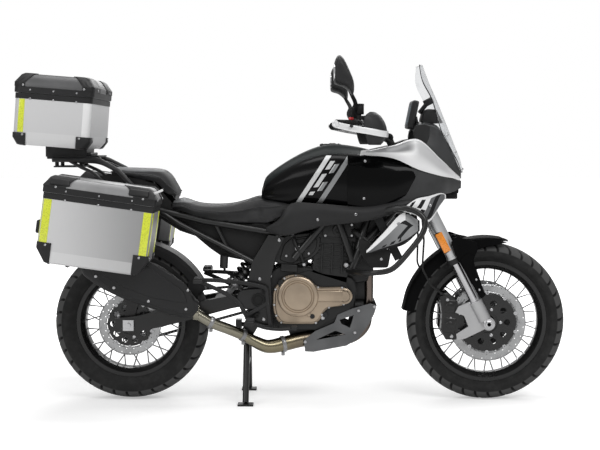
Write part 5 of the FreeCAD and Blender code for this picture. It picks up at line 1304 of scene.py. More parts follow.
def tray_levels(spec, top):
    """Levels of a tray's lower corners, 2 mm proud of its faces."""
    floor, bevel, corner = spec["floor"], spec["bevel"], spec["corner"]
    return [(top, -2, -2, corner), (floor + bevel, -2, -2, corner),
            (floor + bevel * 0.1 - 1, bevel * 0.62 - 2, -1, corner), (floor - 1, bevel * 0.75 + 4, 8, corner)]


def lid_levels(spec):
    """Levels of a lid's upper corners, 1.8 mm proud of its faces."""
    roof, corner, g, taper = spec["roof"], spec["corner"], spec["grow"], spec["taper"]
    return [(25, -g - 1.8, -g - 1.8, corner + 2), (roof - 38, -g - 1.8, -g - 1.8, corner + 2),
            (roof - 7, taper * 0.5 - 1.8, 14, corner + 6), (roof - 0.6, taper * 0.8 - 1, 23, corner + 6),
            (roof - 0.6, taper * 0.8 + 9, 33, corner + 4)]


class BIKE_OT_luggage(Operator):
    """Aluminium side cases and top box with lids, guards, rivets, latches and reflective strips"""
    bl_idname = "bike.luggage"
    bl_label = "Luggage"

    def execute(self, context):
        glow = "reflective_yellow"
        inner, outer = PANNIER["y"]
        middle, (back, front) = (inner + outer) / 2, PANNIER["x"]
        for side, word, lid_body in ((RIGHT, "right", "right_lid"), (LEFT, "left", "left_lid")):
            y = tuple(sorted((side * inner, side * outer)))
            name = "pannier_" + word
            rivets, lid_rivets, (ux, uz) = case_pieces(name, PANNIER, y, "pannier_lid_" + word, lid_body,
                                                       True)
            corner_shells(name + "_guards", PANNIER, y, tray_levels(PANNIER, -190), (46, 46), CHASSIS,
                          ("case_guards",) if side == RIGHT else ())
            corner_shells(name + "_lid_corners", PANNIER, y, lid_levels(PANNIER), (76, 44), lid_body,
                          upright=(0.0, 1.0))
            strips = Form()
            for x_end, sx in ((back, 1), (front, -1)):
                spot = tilt([(x_end + sx * 20, side * (outer + 0.6), -107)], PANNIER)[0]
                strips.pillow(spot, (15, 1.0, 83), 0.9, (ux, Y, uz))
            for x_end, sx in ((back, -1), (front, 1)):
                for y_end in y:
                    inset = y_end - np.sign(y_end - side * middle) * 20
                    strips.pillow(tilt([(x_end + sx * 0.6, inset, -107)], PANNIER)[0], (1.0, 13, 83), 0.9,
                                  (ux, Y, uz))
            piece(name + "_strips", strips, "case_aluminium", glow)
            piece(name + "_rivets", rivets, "axle_steel", "bolt_steel")
            piece(name + "_lid_rivets", lid_rivets, "axle_steel", "bolt_steel", body=lid_body)
            latch, grips, levers = Form(), Form(), Form()
            latch.pillow(tilt([(-435, side * middle, -44)], PANNIER)[0], (7, 34, 27), 3, (ux, Y, uz))
            latch.pillow(tilt([(-443, side * middle, -140)], PANNIER)[0], (14, 46, 26), 7, (ux, Y, uz))
            latch.pillow(tilt([(-432, side * middle, -140)], PANNIER)[0], (4, 58, 34), 3, (ux, Y, uz))
            for shift in (-372, -70):
                spot = tilt([(shift, side * (outer - 1), 45)], PANNIER)[0]
                grips.pillow(spot, (38, 7, 13), 5, (ux, unit((0, 1, side * 0.55)),
                                                    unit(np.cross(ux, unit((0, 1, side * 0.55))))))
            if side == RIGHT:
                levers.pillow(tilt([(-2, side * 452, 58)], PANNIER)[0], (21, 8, 4.5), 3,
                              (unit((0.9, 0, 0.4)), Y, unit((-0.4, 0, 0.9))))
                levers.pillow(tilt([(-20, side * 452, 46)], PANNIER)[0], (6, 6, 10), 3, (ux, Y, uz))
            piece(name + "_latches", latch, "black_plastic")
            piece(name + "_lid_grips", grips, "black_plastic", body=lid_body)
            if side == RIGHT:
                piece(name + "_lid_lever", levers, "axle_steel", "white_plastic", body=lid_body)
        y, back = TOP_BOX["y"], TOP_BOX["x"][0]
        rivets, lid_rivets, (ux, uz) = case_pieces("top_box", TOP_BOX, y, "top_box_lid", "top_lid", False)
        corner_shells("top_box_guards", TOP_BOX, y, tray_levels(TOP_BOX, -158), (26, 40), CHASSIS)
        corner_shells("top_box_lid_corners", TOP_BOX, y, lid_levels(TOP_BOX), (14, 130), "top_lid",
                      upright=(0.0, 1.0))
        strips = Form()
        for y_end in y:
            sy = np.sign(y_end)
            strips.pillow(tilt([(back + 31, y_end + sy * 0.5, -90)], TOP_BOX)[0], (11.5, 1.0, 66), 0.9,
                          (ux, Y, uz))
            strips.pillow(tilt([(back - 0.6, y_end - sy * 48, -90)], TOP_BOX)[0], (1.0, 14, 66), 0.9,
                          (ux, Y, uz))
        piece("top_box_strips", strips, "case_aluminium", glow)
        piece("top_box_rivets", rivets, "axle_steel", "bolt_steel")
        piece("top_box_lid_rivets", lid_rivets, "axle_steel", "bolt_steel", body="top_lid")
        latch = Form()
        for y_spot in (-120, 120):
            latch.pillow(tilt([(back - 3.5, y_spot, -34)], TOP_BOX)[0], (4.0, 20, 27), 3.5, (ux, Y, uz))
        piece("top_box_latches", latch, "black_plastic")
        struts = Form()
        for side in BOTH:
            struts.tube(spline([(-936, side * 92, 1008), (-880, side * 96, 976), (-823, side * 100, 948),
                                (-776, side * 98, 906)], 24),
                        7, 10)
            struts.tube(spline([(-1004, side * 60, 1012), (-900, side * 66, 996), (-800, side * 84, 990),
                                (-716, side * 118, 952)], 24),
                        6, 10)
        struts.pillow((-900, 0, 1026), (66, 84, 6), 4)
        struts.pillow((-1012, 0, 1013), (14, 42, 7), 4)
        piece("rack_struts", struts, "black_plastic", "cast_black")
        return {"FINISHED"}


# ---------------------------------------------------------------- fork and front end
def fender_shell():
    """The front fender: a crowned section with skirts, back round the tyre and forward into a beak."""
    stations = []
    for back, half, skirt in ((82, 66, 46), (66, 67, 48), (48, 68, 48), (30, 68, 46), (14, 68, 34),
                              (2, 66, 24), (-8, 58, 16)):
        a = math.radians(back)
        reach = 352 + 5 * max(0.0, 1 - abs(back) / 40)
        stations.append((at(800 - reach * math.sin(a), 0, 329.5 + reach * math.cos(a)),
                         at(-math.sin(a), 0, math.cos(a)), half, skirt))
    up = unit((0.12, 0, 1.0))
    stations += [(at(868, 0, 676), up, 42, 11), (at(884, 0, 670.5), up, 22, 6),
                 (at(893, 0, 666), up, 4, 2)]
    rows = []
    for spot, out, half, skirt in stations:
        right = [(0.0, 0.0), (half * 0.5, 1.5), (half * 0.82, 5.0), (half * 0.97, 12.0 * skirt / 46 + 2),
                 (half, skirt * 0.55 + 1), (half * 0.985, skirt)]
        rows.append([spot - out * drop + Y * y * side for side,
                     half_row in ((RIGHT, right[::-1]), (LEFT, right[1:])) for y, drop in half_row])
    return Form().grid(spline_grid(rows, 70, 40))


class BIKE_OT_front_end(Operator):
    """Fender, fork fittings, reflectors and caliper details"""
    bl_idname = "bike.front_end"
    bl_label = "Front end"

    def execute(self, context):
        black = "fender_black"
        piece("fender_shell", fender_shell(), "gloss_black", black, ("front_fender",), 50, 3.4, 0.8,
              body=FORK)
        guard = rounded([(640, 668), (662, 694), (700, 680), (742, 672), (750, 640), (739, 616), (732, 594),
                         (743, 556), (760, 512), (784, 452), (766, 436), (750, 458), (680, 578), (664, 604)],
                        9)
        fin = rounded([(636, 668), (662, 687), (690, 679), (742, 676), (802, 675), (850, 669), (886, 662),
                       (845, 655), (769, 636), (730, 620), (690, 640)], 14)
        plates, reflectors, caps, bolts, seals, feet = (Form() for _ in range(6))
        for side in BOTH:
            plates.plate(guard, side * 138.5, side * 146.5, Y, 2.0)
            plates.plate(rounded([(676, 600), (716, 628), (732, 612), (726, 560), (744, 500), (760, 462),
                                  (748, 470), (696, 560)], 8),
                         side * 146.0, side * 149.0, Y, 1.2)
            plates.plate(fin, side * 62, side * 71, Y, 3.5)
            plates.pillow((668, side * 105, 668), (26, 38, 5), 4, FORK_AXES)
            bolts.bolts(((744, 516), (757, 474)), 146.5, side, 4.6, 3.0)
            mid = at_fork(387, LEG_AHEAD - 12, side * (FORK_SPREAD + 27))
            reflectors.pillow(mid, (15, 4, 43), 3.5, FORK_AXES)
            caps.pillow(mid - Y * side * 4.0, (17, 4, 46), 3.5, FORK_AXES)
            for up, r, high in ((296, 31.5, 12), (572, 30.0, 6)):
                seals.revolve([(-high, 20.5), (-high, r - 2), (-high + 3, r), (high - 3, r), (high, r - 3),
                               (high, 20.5)],
                              at_fork(up, LEG_AHEAD, side * FORK_SPREAD), FORK_UP, 48, closed=True)
            feet.revolve([(0, 27.2), (5, 27.2), (9, 24), (9, 15), (5, 13), (5, 0.1)],
                         at_fork(765, LEG_AHEAD, side * FORK_SPREAD), FORK_UP, 40)
            feet.revolve([(-3, 17), (4, 17), (6, 15), (6, 9), (2, 8), (2, 0.1)], FRONT_AXLE + Y * side * 131,
                         Y * side, 6)
            feet.revolve([(-3, 22), (1.5, 22), (3, 20), (3, 0.1)], FRONT_AXLE + Y * side * 130, Y * side, 40)
            bolts.bolts(((632, 428), (650, 276)), 104.0, side, 8.0, 6.0)
            bolts.bolts(((640, 395), (646, 352), (644, 310)), 103.0, side, 5.0, 3.0)
        piece("fender_guards", plates, "gloss_black", black, sharp=40, body=FORK)
        piece("fork_reflectors", reflectors, "lamp_lens", "orange_lens", body=FORK)
        piece("reflector_holders", caps, "black_plastic", body=FORK)
        piece("fork_seals", seals, "black_plastic", body=FORK)
        piece("fork_caps", feet, "axle_steel", "bolt_steel", body=FORK)
        piece("fork_bolts", bolts, "axle_steel", "bolt_steel", body=FORK)
        pads = Form()
        for side in BOTH:
            for z, high in ((400, 30), (322, 34)):
                pads.pillow(at(642, side * 98, z), (27, 8.5, high), 8, leaning(-0.12))
                pads.revolve([(0, 16.5), (5, 16.5), (7, 13.5), (7, 0.1)], at(642, side * 104, z), Y * side,
                             32)
            pads.pillow(at(640, side * 84, 360), (14, 12, 66), 6, leaning(-0.12))
        piece("caliper_bodies", pads, "caliper_black", body=FORK)
        return {"FINISHED"}


# ---------------------------------------------------------------- bar, mirrors and screen
BAR_INNER, BAR_OUTER = at(292, -215, 1146), at(166, -428, 1146)


def along_bar(share, side):
    """A point on the straight outer run of the bar on one side."""
    spot = BAR_INNER + (BAR_OUTER - BAR_INNER) * share
    return spot * (1, -side, 1)


def ribbon(form, path, half, thick, up=Z):
    """A flat bar carried along a path: a rounded rectangle half high and thick deep, upright along up."""
    path = np.asarray(path, float)
    across = unit(np.cross(unit(np.gradient(path, axis=0)), up))
    rise = unit(np.cross(across, np.gradient(path, axis=0)))
    half, thick = (np.broadcast_to(np.asarray(v, float), len(path))[:, None, None] for v in (half, thick))
    ring = np.array([(-1, -0.8), (-0.8, -1), (0.8, -1), (1, -0.8), (1, 0.8), (0.8, 1), (-0.8, 1), (-1, 0.8)])
    deep, high = thick * ring[None, :, :1] * across[:, None], half * ring[None, :, 1:] * rise[:, None]
    return form.skin(path[:, None] + deep + high)


class BIKE_OT_controls(Operator):
    """Grips with rings, levers, switch pods, reservoirs, handguards and mirrors"""
    bl_idname = "bike.controls"
    bl_label = "Controls"

    def execute(self, context):
        grips, pods, levers, lids, shells, bands, glass, red = (Form() for _ in range(8))
        stalks, heads = Form(), Form()
        for side in BOTH:
            way = unit(along_bar(1, side) - along_bar(0, side))
            length = np.linalg.norm(along_bar(0.99, side) - along_bar(0.48, side))
            run = np.linspace(0, length, 90)
            ribs = 15.6 + 1.3 * (np.sin(run * 0.75) > -0.2) * ((run > 8) & (run < length - 8))
            ribs[:5] = ribs[-5:] = 17.0
            profile = np.concatenate([[(0, 11)], np.stack([run, ribs], -1), [(length, 11)]])
            grips.revolve(profile, along_bar(0.48, side), way, 36)
            ahead = unit(np.cross(way, Z)) * side
            ahead = ahead * np.sign(ahead[0])
            pods.pillow(along_bar(0.408, side), (15, 20, 19), 8, (way, ahead, Z))
            pods.pillow(along_bar(0.408, side) - ahead * 6 + Z * 17, (11, 12, 7), 4, (way, ahead, Z))
            (red if side == RIGHT else pods).pillow(along_bar(0.5, side) - ahead * 4 + Z * 21, (11, 7, 6), 3,
                                                    (way, ahead, Z))
            pods.revolve([(-16, 12), (-16, 17.5), (-12, 19), (12, 19), (16, 17.5), (16, 12)],
                         along_bar(0.267, side), way, 36)
            top = along_bar(0.267, side) + Z * 39
            lids.revolve([(0, 18), (2, 19.5), (31, 19.5), (33, 18.5), (33, 0.1)], top, Z, 40)
            lids.revolve([(33, 20.0), (41, 20.0), (42.5, 17), (42.5, 0.1)], top, Z, 8)
            pods.tube(np.array([along_bar(0.267, side), top + Z * 2]), 9.5, 20, hint=X)
            blade = [along_bar(0.335, side) + ahead * 42 - Z * 6, along_bar(0.36, side) + ahead * 56 - Z * 8,
                     along_bar(0.6, side) + ahead * 56 - Z * 10, along_bar(0.86, side) + ahead * 54 - Z * 9,
                     along_bar(0.97, side) + ahead * 60 - Z * 8]
            taper = np.concatenate([np.full(8, 6.4), np.linspace(6.2, 4.4, 26), np.full(6, 6.2)])
            levers.tube(spline(blade, 40), taper, 12, hint=Z)
            pods.pillow(along_bar(0.32, side) + ahead * 28 - Z * 4, (9, 26, 9), 5, (way, ahead, Z))
            rows = [[(x, side * y, z) for x, y in curve] for z, curve in (
                (1066, ((336, 274), (340, 330), (330, 380), (304, 402), (290, 408))),
                (1080, ((350, 264), (352, 332), (342, 388), (308, 412), (284, 418))),
                (1112, ((362, 262), (364, 336), (352, 394), (312, 418), (276, 424))),
                (1146, ((356, 262), (358, 334), (345, 392), (310, 416), (272, 422))),
                (1176, ((340, 266), (340, 328), (328, 384), (302, 408), (276, 416))),
                (1192, ((320, 276), (320, 322), (313, 364), (302, 388), (294, 396))))]
            shells.grid(spline_grid(rows, 30, 40))
            band = spline([along_bar(1.02, side) + (-2, side * 1, -3), (224, side * 434, 1129),
                           (290, side * 427, 1118), (334, side * 414, 1110), (358, side * 386, 1107),
                           (368, side * 332, 1107), (364, side * 262, 1110)], 70)
            ribbon(bands, band, 12.0, 3.4)
            bands.revolve([(-1, 13.5), (4, 13.5), (6, 12), (6, 7.5), (3, 7), (3, 0.1)], along_bar(1.03, side),
                          unit(along_bar(1, side) - along_bar(0, side)), 32)
            stalk = [along_bar(0.27, side) + (-4, 0, 14), (236, side * 288, 1196), (243, side * 306, 1226),
                     (229, side * 342, 1256), (214, side * 366, 1284)]
            stalks.tube(spline(stalk, 48), np.concatenate([np.full(14, 9.5), np.linspace(9.5, 6.5, 34)]), 14,
                        hint=X)
            stalks.revolve([(0, 12), (10, 12), (12, 14), (44, 14), (47, 12), (47, 0.1)],
                           along_bar(0.27, side) + (-4, 0, 4), Z, 24)
            leaf = np.array([(227, 1258), (234, 1276), (232, 1311), (216, 1352), (194, 1396), (175, 1409),
                             (160, 1386), (157, 1346), (157, 1312), (163, 1299), (192, 1289), (214, 1272)])
            middle = np.array((186.0, 1342.0))
            rows = [[(x, side * y, z) for x, z in middle + (leaf - middle) * (0.35 + 0.65 * swell, swell)]
                    for y, swell in ((318, 0.25), (320, 0.55), (332, 0.84), (362, 1.0), (404, 1.0),
                                     (432, 0.86), (446, 0.6), (449, 0.3))]
            heads.skin(spline_grid(rows, 40, 60, closed=True))
            pane = rounded([(side * y, z) for y, z in ((338, 1313), (430, 1313), (438, 1348), (424, 1374),
                                                       (346, 1374), (332, 1348))], 24)
            middle = pane.mean(0)
            glass.skin(np.array([[(x, y, z) for y, z in middle + (pane - middle) * share]
                                 for x, share in ((160, 1.0), (156.6, 1.0), (156.2, 0.95))]))
        for name, form, slot, paint, nodes in (
                ("bar_grips", grips, "black_plastic", "grip_rubber", ()),
                                               ("bar_pods", pods, "black_plastic", "black_plastic",
                                                ("bar_controls",)),
                ("bar_levers", levers, "cast_aluminium", "cast_black", ()),
                                               ("bar_reservoirs", lids, "black_plastic", "matt_black", ()),
                ("kill_switch", red, "black_plastic", "red_plastic", ()),
                                               ("mirror_stalks", stalks, "black_plastic", "matt_black",
                                                ("mirrors",)),
                ("mirror_heads", heads, "black_plastic", "black_plastic", ()),
                                               ("mirror_glass", glass, "cast_aluminium", "chrome", ())):
            piece(name, form, slot, paint, nodes, sharp=40, body=FORK)
        piece("handguard_shells", shells, "black_plastic", sharp=50, wall=3.2, bevel=0.8, body=FORK)
        piece("handguard_bands", bands, "cast_aluminium", "satin_silver", ("handguards",), 40, body=FORK)
        braces = Form()
        for side in BOTH:
            route = [(364, side * 268, 1110), (366, side * 230, 1116), (360, side * 190, 1122),
                     (354, side * 158, 1124)]
            braces.tube(spline(route, 30), 7.0, 14, hint=Z)
            braces.pillow((358, side * 300, 1110), (9, 30, 15), 5)
        piece("handguard_braces", braces, "black_plastic", "matt_black", body=FORK)
        return {"FINISHED"}


SCREEN = [(950, 700, 690, 60), (1000, 688, 664, 122), (1060, 664, 628, 156), (1126, 638, 592, 176),
          (1242, 590, 556, 180), (1320, 556, 519, 156), (1392, 530, 512, 70)]


class BIKE_OT_cockpit(Operator):
    """Windscreen, instrument panel, nose and lamps"""
    bl_idname = "bike.cockpit"
    bl_label = "Cockpit"

    def execute(self, context):
        rows = []
        for z, mid, edge, half in SCREEN:
            share = np.linspace(-1, 1, 9)
            rows.append([(mid - (mid - edge) * s * s, half * s, z) for s in share])
        piece("windscreen_sheet", Form().grid(spline_grid(rows, 60, 48)), "clear_screen", "screen_clear",
              ("windscreen",), 60, 3.6, 0.8)
        dash, glass, mounts = Form(), Form(), Form()
        middle, axes = at(489, 0, 1188), leaning(-0.2)
        dash.pillow(middle, (13, 90, 59), 7, axes)
        glass.pillow(middle - axes[0] * 10.5, (4, 81, 50), 2.5, axes)
        for side in BOTH:
            for z in (965, 1035, 1105):
                x, reach = (np.interp(z, [950, 1000, 1126], row) for row in ([694, 670, 604], [40, 96, 150]))
                mounts.bolt(at(x + 6, side * reach, z), unit((0.7, side * 0.6, 0.25)), 6.0, 4.0)
        piece("dash_case", dash, "black_plastic")
        piece("dash_glass", glass, "black_plastic", "dash_screen")
        piece("screen_bolts", mounts, "axle_steel", "bolt_steel")
        hood = []
        for x, top, edge, half, foot, wide in ((486, 1126, 1119, 122, 1094, 137),
                                               (502, 1152, 1142, 116, 1080, 140),
                                               (544, 1158, 1148, 118, 1052, 146),
                                               (600, 1136, 1118, 122, 996, 128),
                                               (648, 1050, 1032, 92, 950, 92), (688, 956, 950, 52, 926, 54)):
            right = [(0.0, top), (half * 0.6, (top + edge) / 2), (half * 0.97, edge),
                     (half * 1.04, edge - 10), ((half + wide) / 2, (edge + foot) / 2), (wide, foot)]
            hood.append([(x, -y, z) for y, z in right[::-1]] + [(x, y, z) for y, z in right[1:]])
        piece("cockpit_hood", Form().grid(spline_grid(hood, 44, 48)), "black_plastic", "nose_grey",
              ("dashboard",), 50, 3.0, 0.8)
        post = Form()
        post.plate(rounded([(524, 1150), (524, 1168), (534, 1206), (548, 1212), (584, 1210), (614, 1154)],
                           6), -62, 62, Y, 4)
        post.tube(spline([(520, 0, 1196), (534, 0, 1214), (550, 0, 1234)], 12), 9, 12)
        post.pillow((557, 0, 1242), (19, 16, 14), 4, leaning(0.5))
        for side in BOTH:
            post.tube(spline([(512, side * 46, 1144), (504, side * 46, 1160), (500, side * 46, 1180)], 16),
                      8, 10)
            post.plate(rounded([(484, 1076), (484, 1104), (496, 1146), (530, 1150), (552, 1140), (548, 1092),
                                (536, 1064)], 8),
                       side * 140, side * 147, Y, 2.5)
        piece("cockpit_posts", post, "black_plastic")
        mount = Form()
        mount.pillow((664, 0, 876), (18, 40, 12), 5)
        mount.pillow((652, 0, 854), (26, 34, 14), 5)
        piece("nose_mount", mount, "black_plastic", "matt_black")
        bezel, lamp, bulbs = Form(), Form(), Form()
        face = unit((1.0, 0, 0.16))
        rise = np.cross(face, Y)
        for side in BOTH:
            spot = at(664, side * 43, 894)
            bezel.pillow(spot - face * 16, (18, 34, 20), 10, (face, Y, rise))
            lamp.pillow(spot + face * 4, (5, 31, 16), 4.8, (face, Y, rise))
            for shift in (-18, 0, 18):
                bulbs.revolve([(-2, 8), (1, 8), (2, 6), (3, 4), (3.6, 0.1)], spot + Y * shift + face * 1,
                              face, 20)
        piece("headlamp_bezels", bezel, "black_plastic")
        piece("headlamp_lenses", lamp, "lamp_lens", "lamp_clear")
        piece("headlamp_elements", bulbs, "lamp_lens", "chrome")
        return {"FINISHED"}


# ---------------------------------------------------------------- engine, exhaust and running gear
CLUTCH_COVER = [(-88, 380), (-88, 470), (-40, 530), (30, 536), (96, 482), (212, 484), (234, 446), (212, 408),
                (132, 396), (96, 330), (-62, 330)]


def cover_boss(form, x, z, face, side, r, rise):
    """A round boss with a rolled shoulder, a sunken ring and a flat middle."""
    form.revolve([(-2, r), (rise * 0.5, r), (rise * 0.85, r - 3), (rise, r - 8), (rise, r * 0.80),
                  (rise - 4, r * 0.76), (rise - 4, r * 0.70), (rise + 1, r * 0.66), (rise + 2.5, r * 0.6),
                  (rise + 2.5, 0.1)],
                 at(x, side * face, z), Y * side, 72)


class BIKE_OT_engine(Operator):
    """Bolted covers, ribbed cylinders, hoses and skid plate fittings"""
    bl_idname = "bike.engine"
    bl_label = "Engine and exhaust"

    def execute(self, context):
        covers, bolts, dark, hoses, clips = (Form() for _ in range(5))
        outline = rounded(CLUTCH_COVER, 26, 8)
        covers.plate(outline, -118.0, -131.0, Y, 4.0)
        inner = outline.mean(0) + (outline - outline.mean(0)) * 0.93
        covers.plate(inner, -129.0, -136.0, Y, 3.0)
        cover_boss(covers, 16, 446, 134, RIGHT, 84, 20)
        cover_boss(covers, 206, 446, 134, RIGHT, 33, 6)
        covers.pillow((140, -139, 447), (62, 5, 23), 5)
        covers.pillow((60, -137, 372), (9, 6, 9), 5)
        rim = rounded(CLUTCH_COVER, 20, 3)
        ring = spline(rim, 15, closed=True)
        middle = ring.mean(0)
        bolts.bolts(middle + (ring - middle) * 0.955, 131.0, RIGHT, 5.6, 5.0)
        covers.plate(rounded([(60, 352), (60, 500), (110, 530), (190, 520), (220, 470), (214, 392),
                              (170, 356)], 26, 8), 118, 130, Y, 4)
        cover_boss(covers, 138, 438, 130, LEFT, 70, 22)
        for a in np.radians(np.arange(9) * 40.0 + 10):
            bolts.bolt(at(138 + 79 * math.cos(a), 130.0, 438 + 79 * math.sin(a)), Y, 5.0, 5.0)
        piece("engine_side_covers", covers, "engine_bronze", replaces=("engine_covers",))
        # cylinder ribs, head bolts, coil caps, filler and filter on both sides
        axes = leaning(-0.06)
        for side in BOTH:
            for k in range(7):
                dark.pillow(at(168 + k * 1.2, side * 109, 560 + k * 16), (74, 3.4, 3.2), 2.4, axes)
            for shift in (-62, -20, 22, 64):
                dark.pillow(at(176 + shift, side * 112, 600), (4, 3.5, 62), 2.6, axes)
            dark.pillow(at(182, side * 117, 716), (66, 5, 30), 8, axes)
            for shift, high in ((-54, 738), (54, 738), (-54, 694), (54, 694)):
                bolts.bolt(at(182 + shift, side * 121, high), Y * side, 6.0, 5.0)
            dark.revolve([(0, 26), (5, 26), (8, 22), (8, 12), (5, 10), (5, 0.1)], at(182, side * 120, 716),
                         Y * side, 36)
            dark.pillow(at(-20, side * 121, 560), (34, 5, 16), 4, axes)
        for k in (-1, 0, 1):
            dark.revolve([(0, 15), (20, 15), (24, 11), (34, 9), (34, 0.1)], at(186, k * 52, 770), axes[2], 24)
        dark.revolve([(0, 34), (46, 34), (52, 30), (52, 0.1)], at(238, -34, 392), X, 40)
        dark.revolve([(0, 17), (8, 17), (12, 14), (12, 0.1)], at(-52, -131, 500), -Y, 6)
        bolts.bolt(at(118, -126, 356), -Y, 9.0, 6.0)
        for side in BOTH:
            # airbox under the side cover, then the crankcase, a dark backing sheet near the radiator and
            # bosses behind the covers
            dark.plate(rounded([(-96, 590), (-76, 664), (-30, 696), (86, 708), (112, 688), (106, 628),
                                (70, 594), (-20, 562)], 14),
                       side * 96, side * 112, Y, 5)
            dark.plate(rounded([(-60, 592), (-42, 656), (-14, 682), (78, 694), (96, 680), (90, 634),
                                (62, 606), (-14, 578)], 12),
                       side * 111, side * 117, Y, 3)
            dark.pillow((40, side * 117, 672), (42, 4, 10), 3.5, leaning(0.1))
            dark.plate(rounded([(-116, 330), (-116, 520), (-70, 566), (60, 566), (120, 540), (246, 520),
                                (262, 470), (246, 380), (150, 322), (120, 300), (-80, 300)], 20), side * 60,
                       side * 108, Y, 6)
            # a dark backing sheet: partly standing for the radiator's side and hoses, partly painted shade in
            # the gaps between the frame tubes
            dark.plate(rounded([(206, 486), (196, 700), (214, 776), (336, 786), (344, 640), (326, 560),
                                (300, 500)], 14),
                       side * 70, side * 84, Y, 4)
            for x, z, r in ((-100, 560, 17), (-44, 540, 15), (262, 600, 20), (288, 648, 15), (86, 560, 16),
                            (250, 540, 14)):
                dark.revolve([(0, r), (10, r), (13, r - 3), (13, r * 0.5), (9, r * 0.45), (9, 0.1)],
                             at(x, side * 84, z), Y * side, 28)
            bolts.bolts(((-32, 610), (78, 684), (-96, 526), (60, 620)), 117.0, side, 6.0, 4.0)
        for x, z, r, low, high in ((26, 584, 32, -92, 60), (-40, 556, 26, -88, 88), (96, 620, 40, -70, 70),
                                   (-66, 640, 34, -60, 60), (108, 566, 22, -96, 96)):
            dark.revolve([(low, 0.1), (low, r * 0.5), (low + 2, r * 0.55), (low + 4, r - 3), (low + 7, r),
                          (high - 7, r), (high - 4, r - 3), (high - 2, r * 0.55), (high, r * 0.5),
                          (high, 0.1)], at(x, 0, z), Y, 36)
        dark.pillow((264, 0, 468), (34, 58, 52), 10)
        dark.pillow((-132, 0, 716), (40, 100, 34), 10)
        for k in range(5):
            dark.pillow((-96 + k * 15, -108, 330), (4, 4, 24), 3)
        piece("engine_castings", dark, "engine_black")
        tag = Form()
        for side in BOTH:
            tag.pillow((28, side * 118.6, 644), (23, 1.6, 9), 1.4, leaning(0.28))
        piece("airbox_tags", tag, "cast_aluminium", "satin_silver")
        sight = Form()
        sight.revolve([(0, 10), (4, 10), (5.5, 8.5), (5.5, 6), (2, 5.5), (2, 0.1)], at(75, -136, 363), -Y, 28)
        sight.revolve([(-3, 12), (2, 12), (4, 10), (4, 5), (1, 4.6), (1, 0.1)], at(126, -128, 368), -Y, 28)
        piece("sight_glass", sight, "engine_bronze", "cast_black")
        for route, r in ((((330, -128, 640), (300, -132, 668), (262, -126, 700), (236, -104, 716)), 15),
                         (((322, 118, 606), (300, 132, 560), (262, 138, 520), (226, 128, 500)), 15),
                         (((-6, -120, 700), (6, -134, 660), (26, -136, 620), (44, -128, 566)), 7),
                         (((-40, 118, 690), (-30, 132, 640), (-4, 134, 590), (20, 126, 550)), 7)):
            path = spline(route, 30)
            hoses.tube(path, r, 16)
            for spot, way in ((path[2], path[3] - path[1]), (path[-3], path[-2] - path[-4])):
                clips.revolve([(-5, r), (-5, r + 1.6), (5, r + 1.6), (5, r)], spot, way, 28, closed=True)
        piece("coolant_hoses", hoses, "hose_rubber")
        piece("hose_clips", clips, "axle_steel", "bolt_steel")
        for side in BOTH:
            bolts.bolts(((265, 385), (250, 294), (330, 402), (46, 256)), 124.0, side, 7.0, 5.0)
            bolts.bolt(at(214, side * 128, 574), Y * side, 11.0, 7.0)
            for x, z in ((-139, 444), (-140, 518), (-60, 676), (-124, 352)):
                bolts.bolt(at(x, side * 146, z), Y * side, 12.0 if z == 444 else 7.5, 6.0)
        piece("engine_bolts", bolts, "axle_steel", "bolt_steel")
        return {"FINISHED"}


SILENCER_Y, SHIELD_FACE = -202, 254.5
SILENCER = [(-384, 372, 430, 26), (-404, 369, 452, 33), (-440, 368, 500, 46), (-500, 378, 548, 50),
            (-560, 400, 586, 52), (-640, 427, 606, 52), (-700, 450, 617, 51), (-780, 490, 622, 48),
            (-836, 530, 622, 43), (-850, 546, 618, 39)]


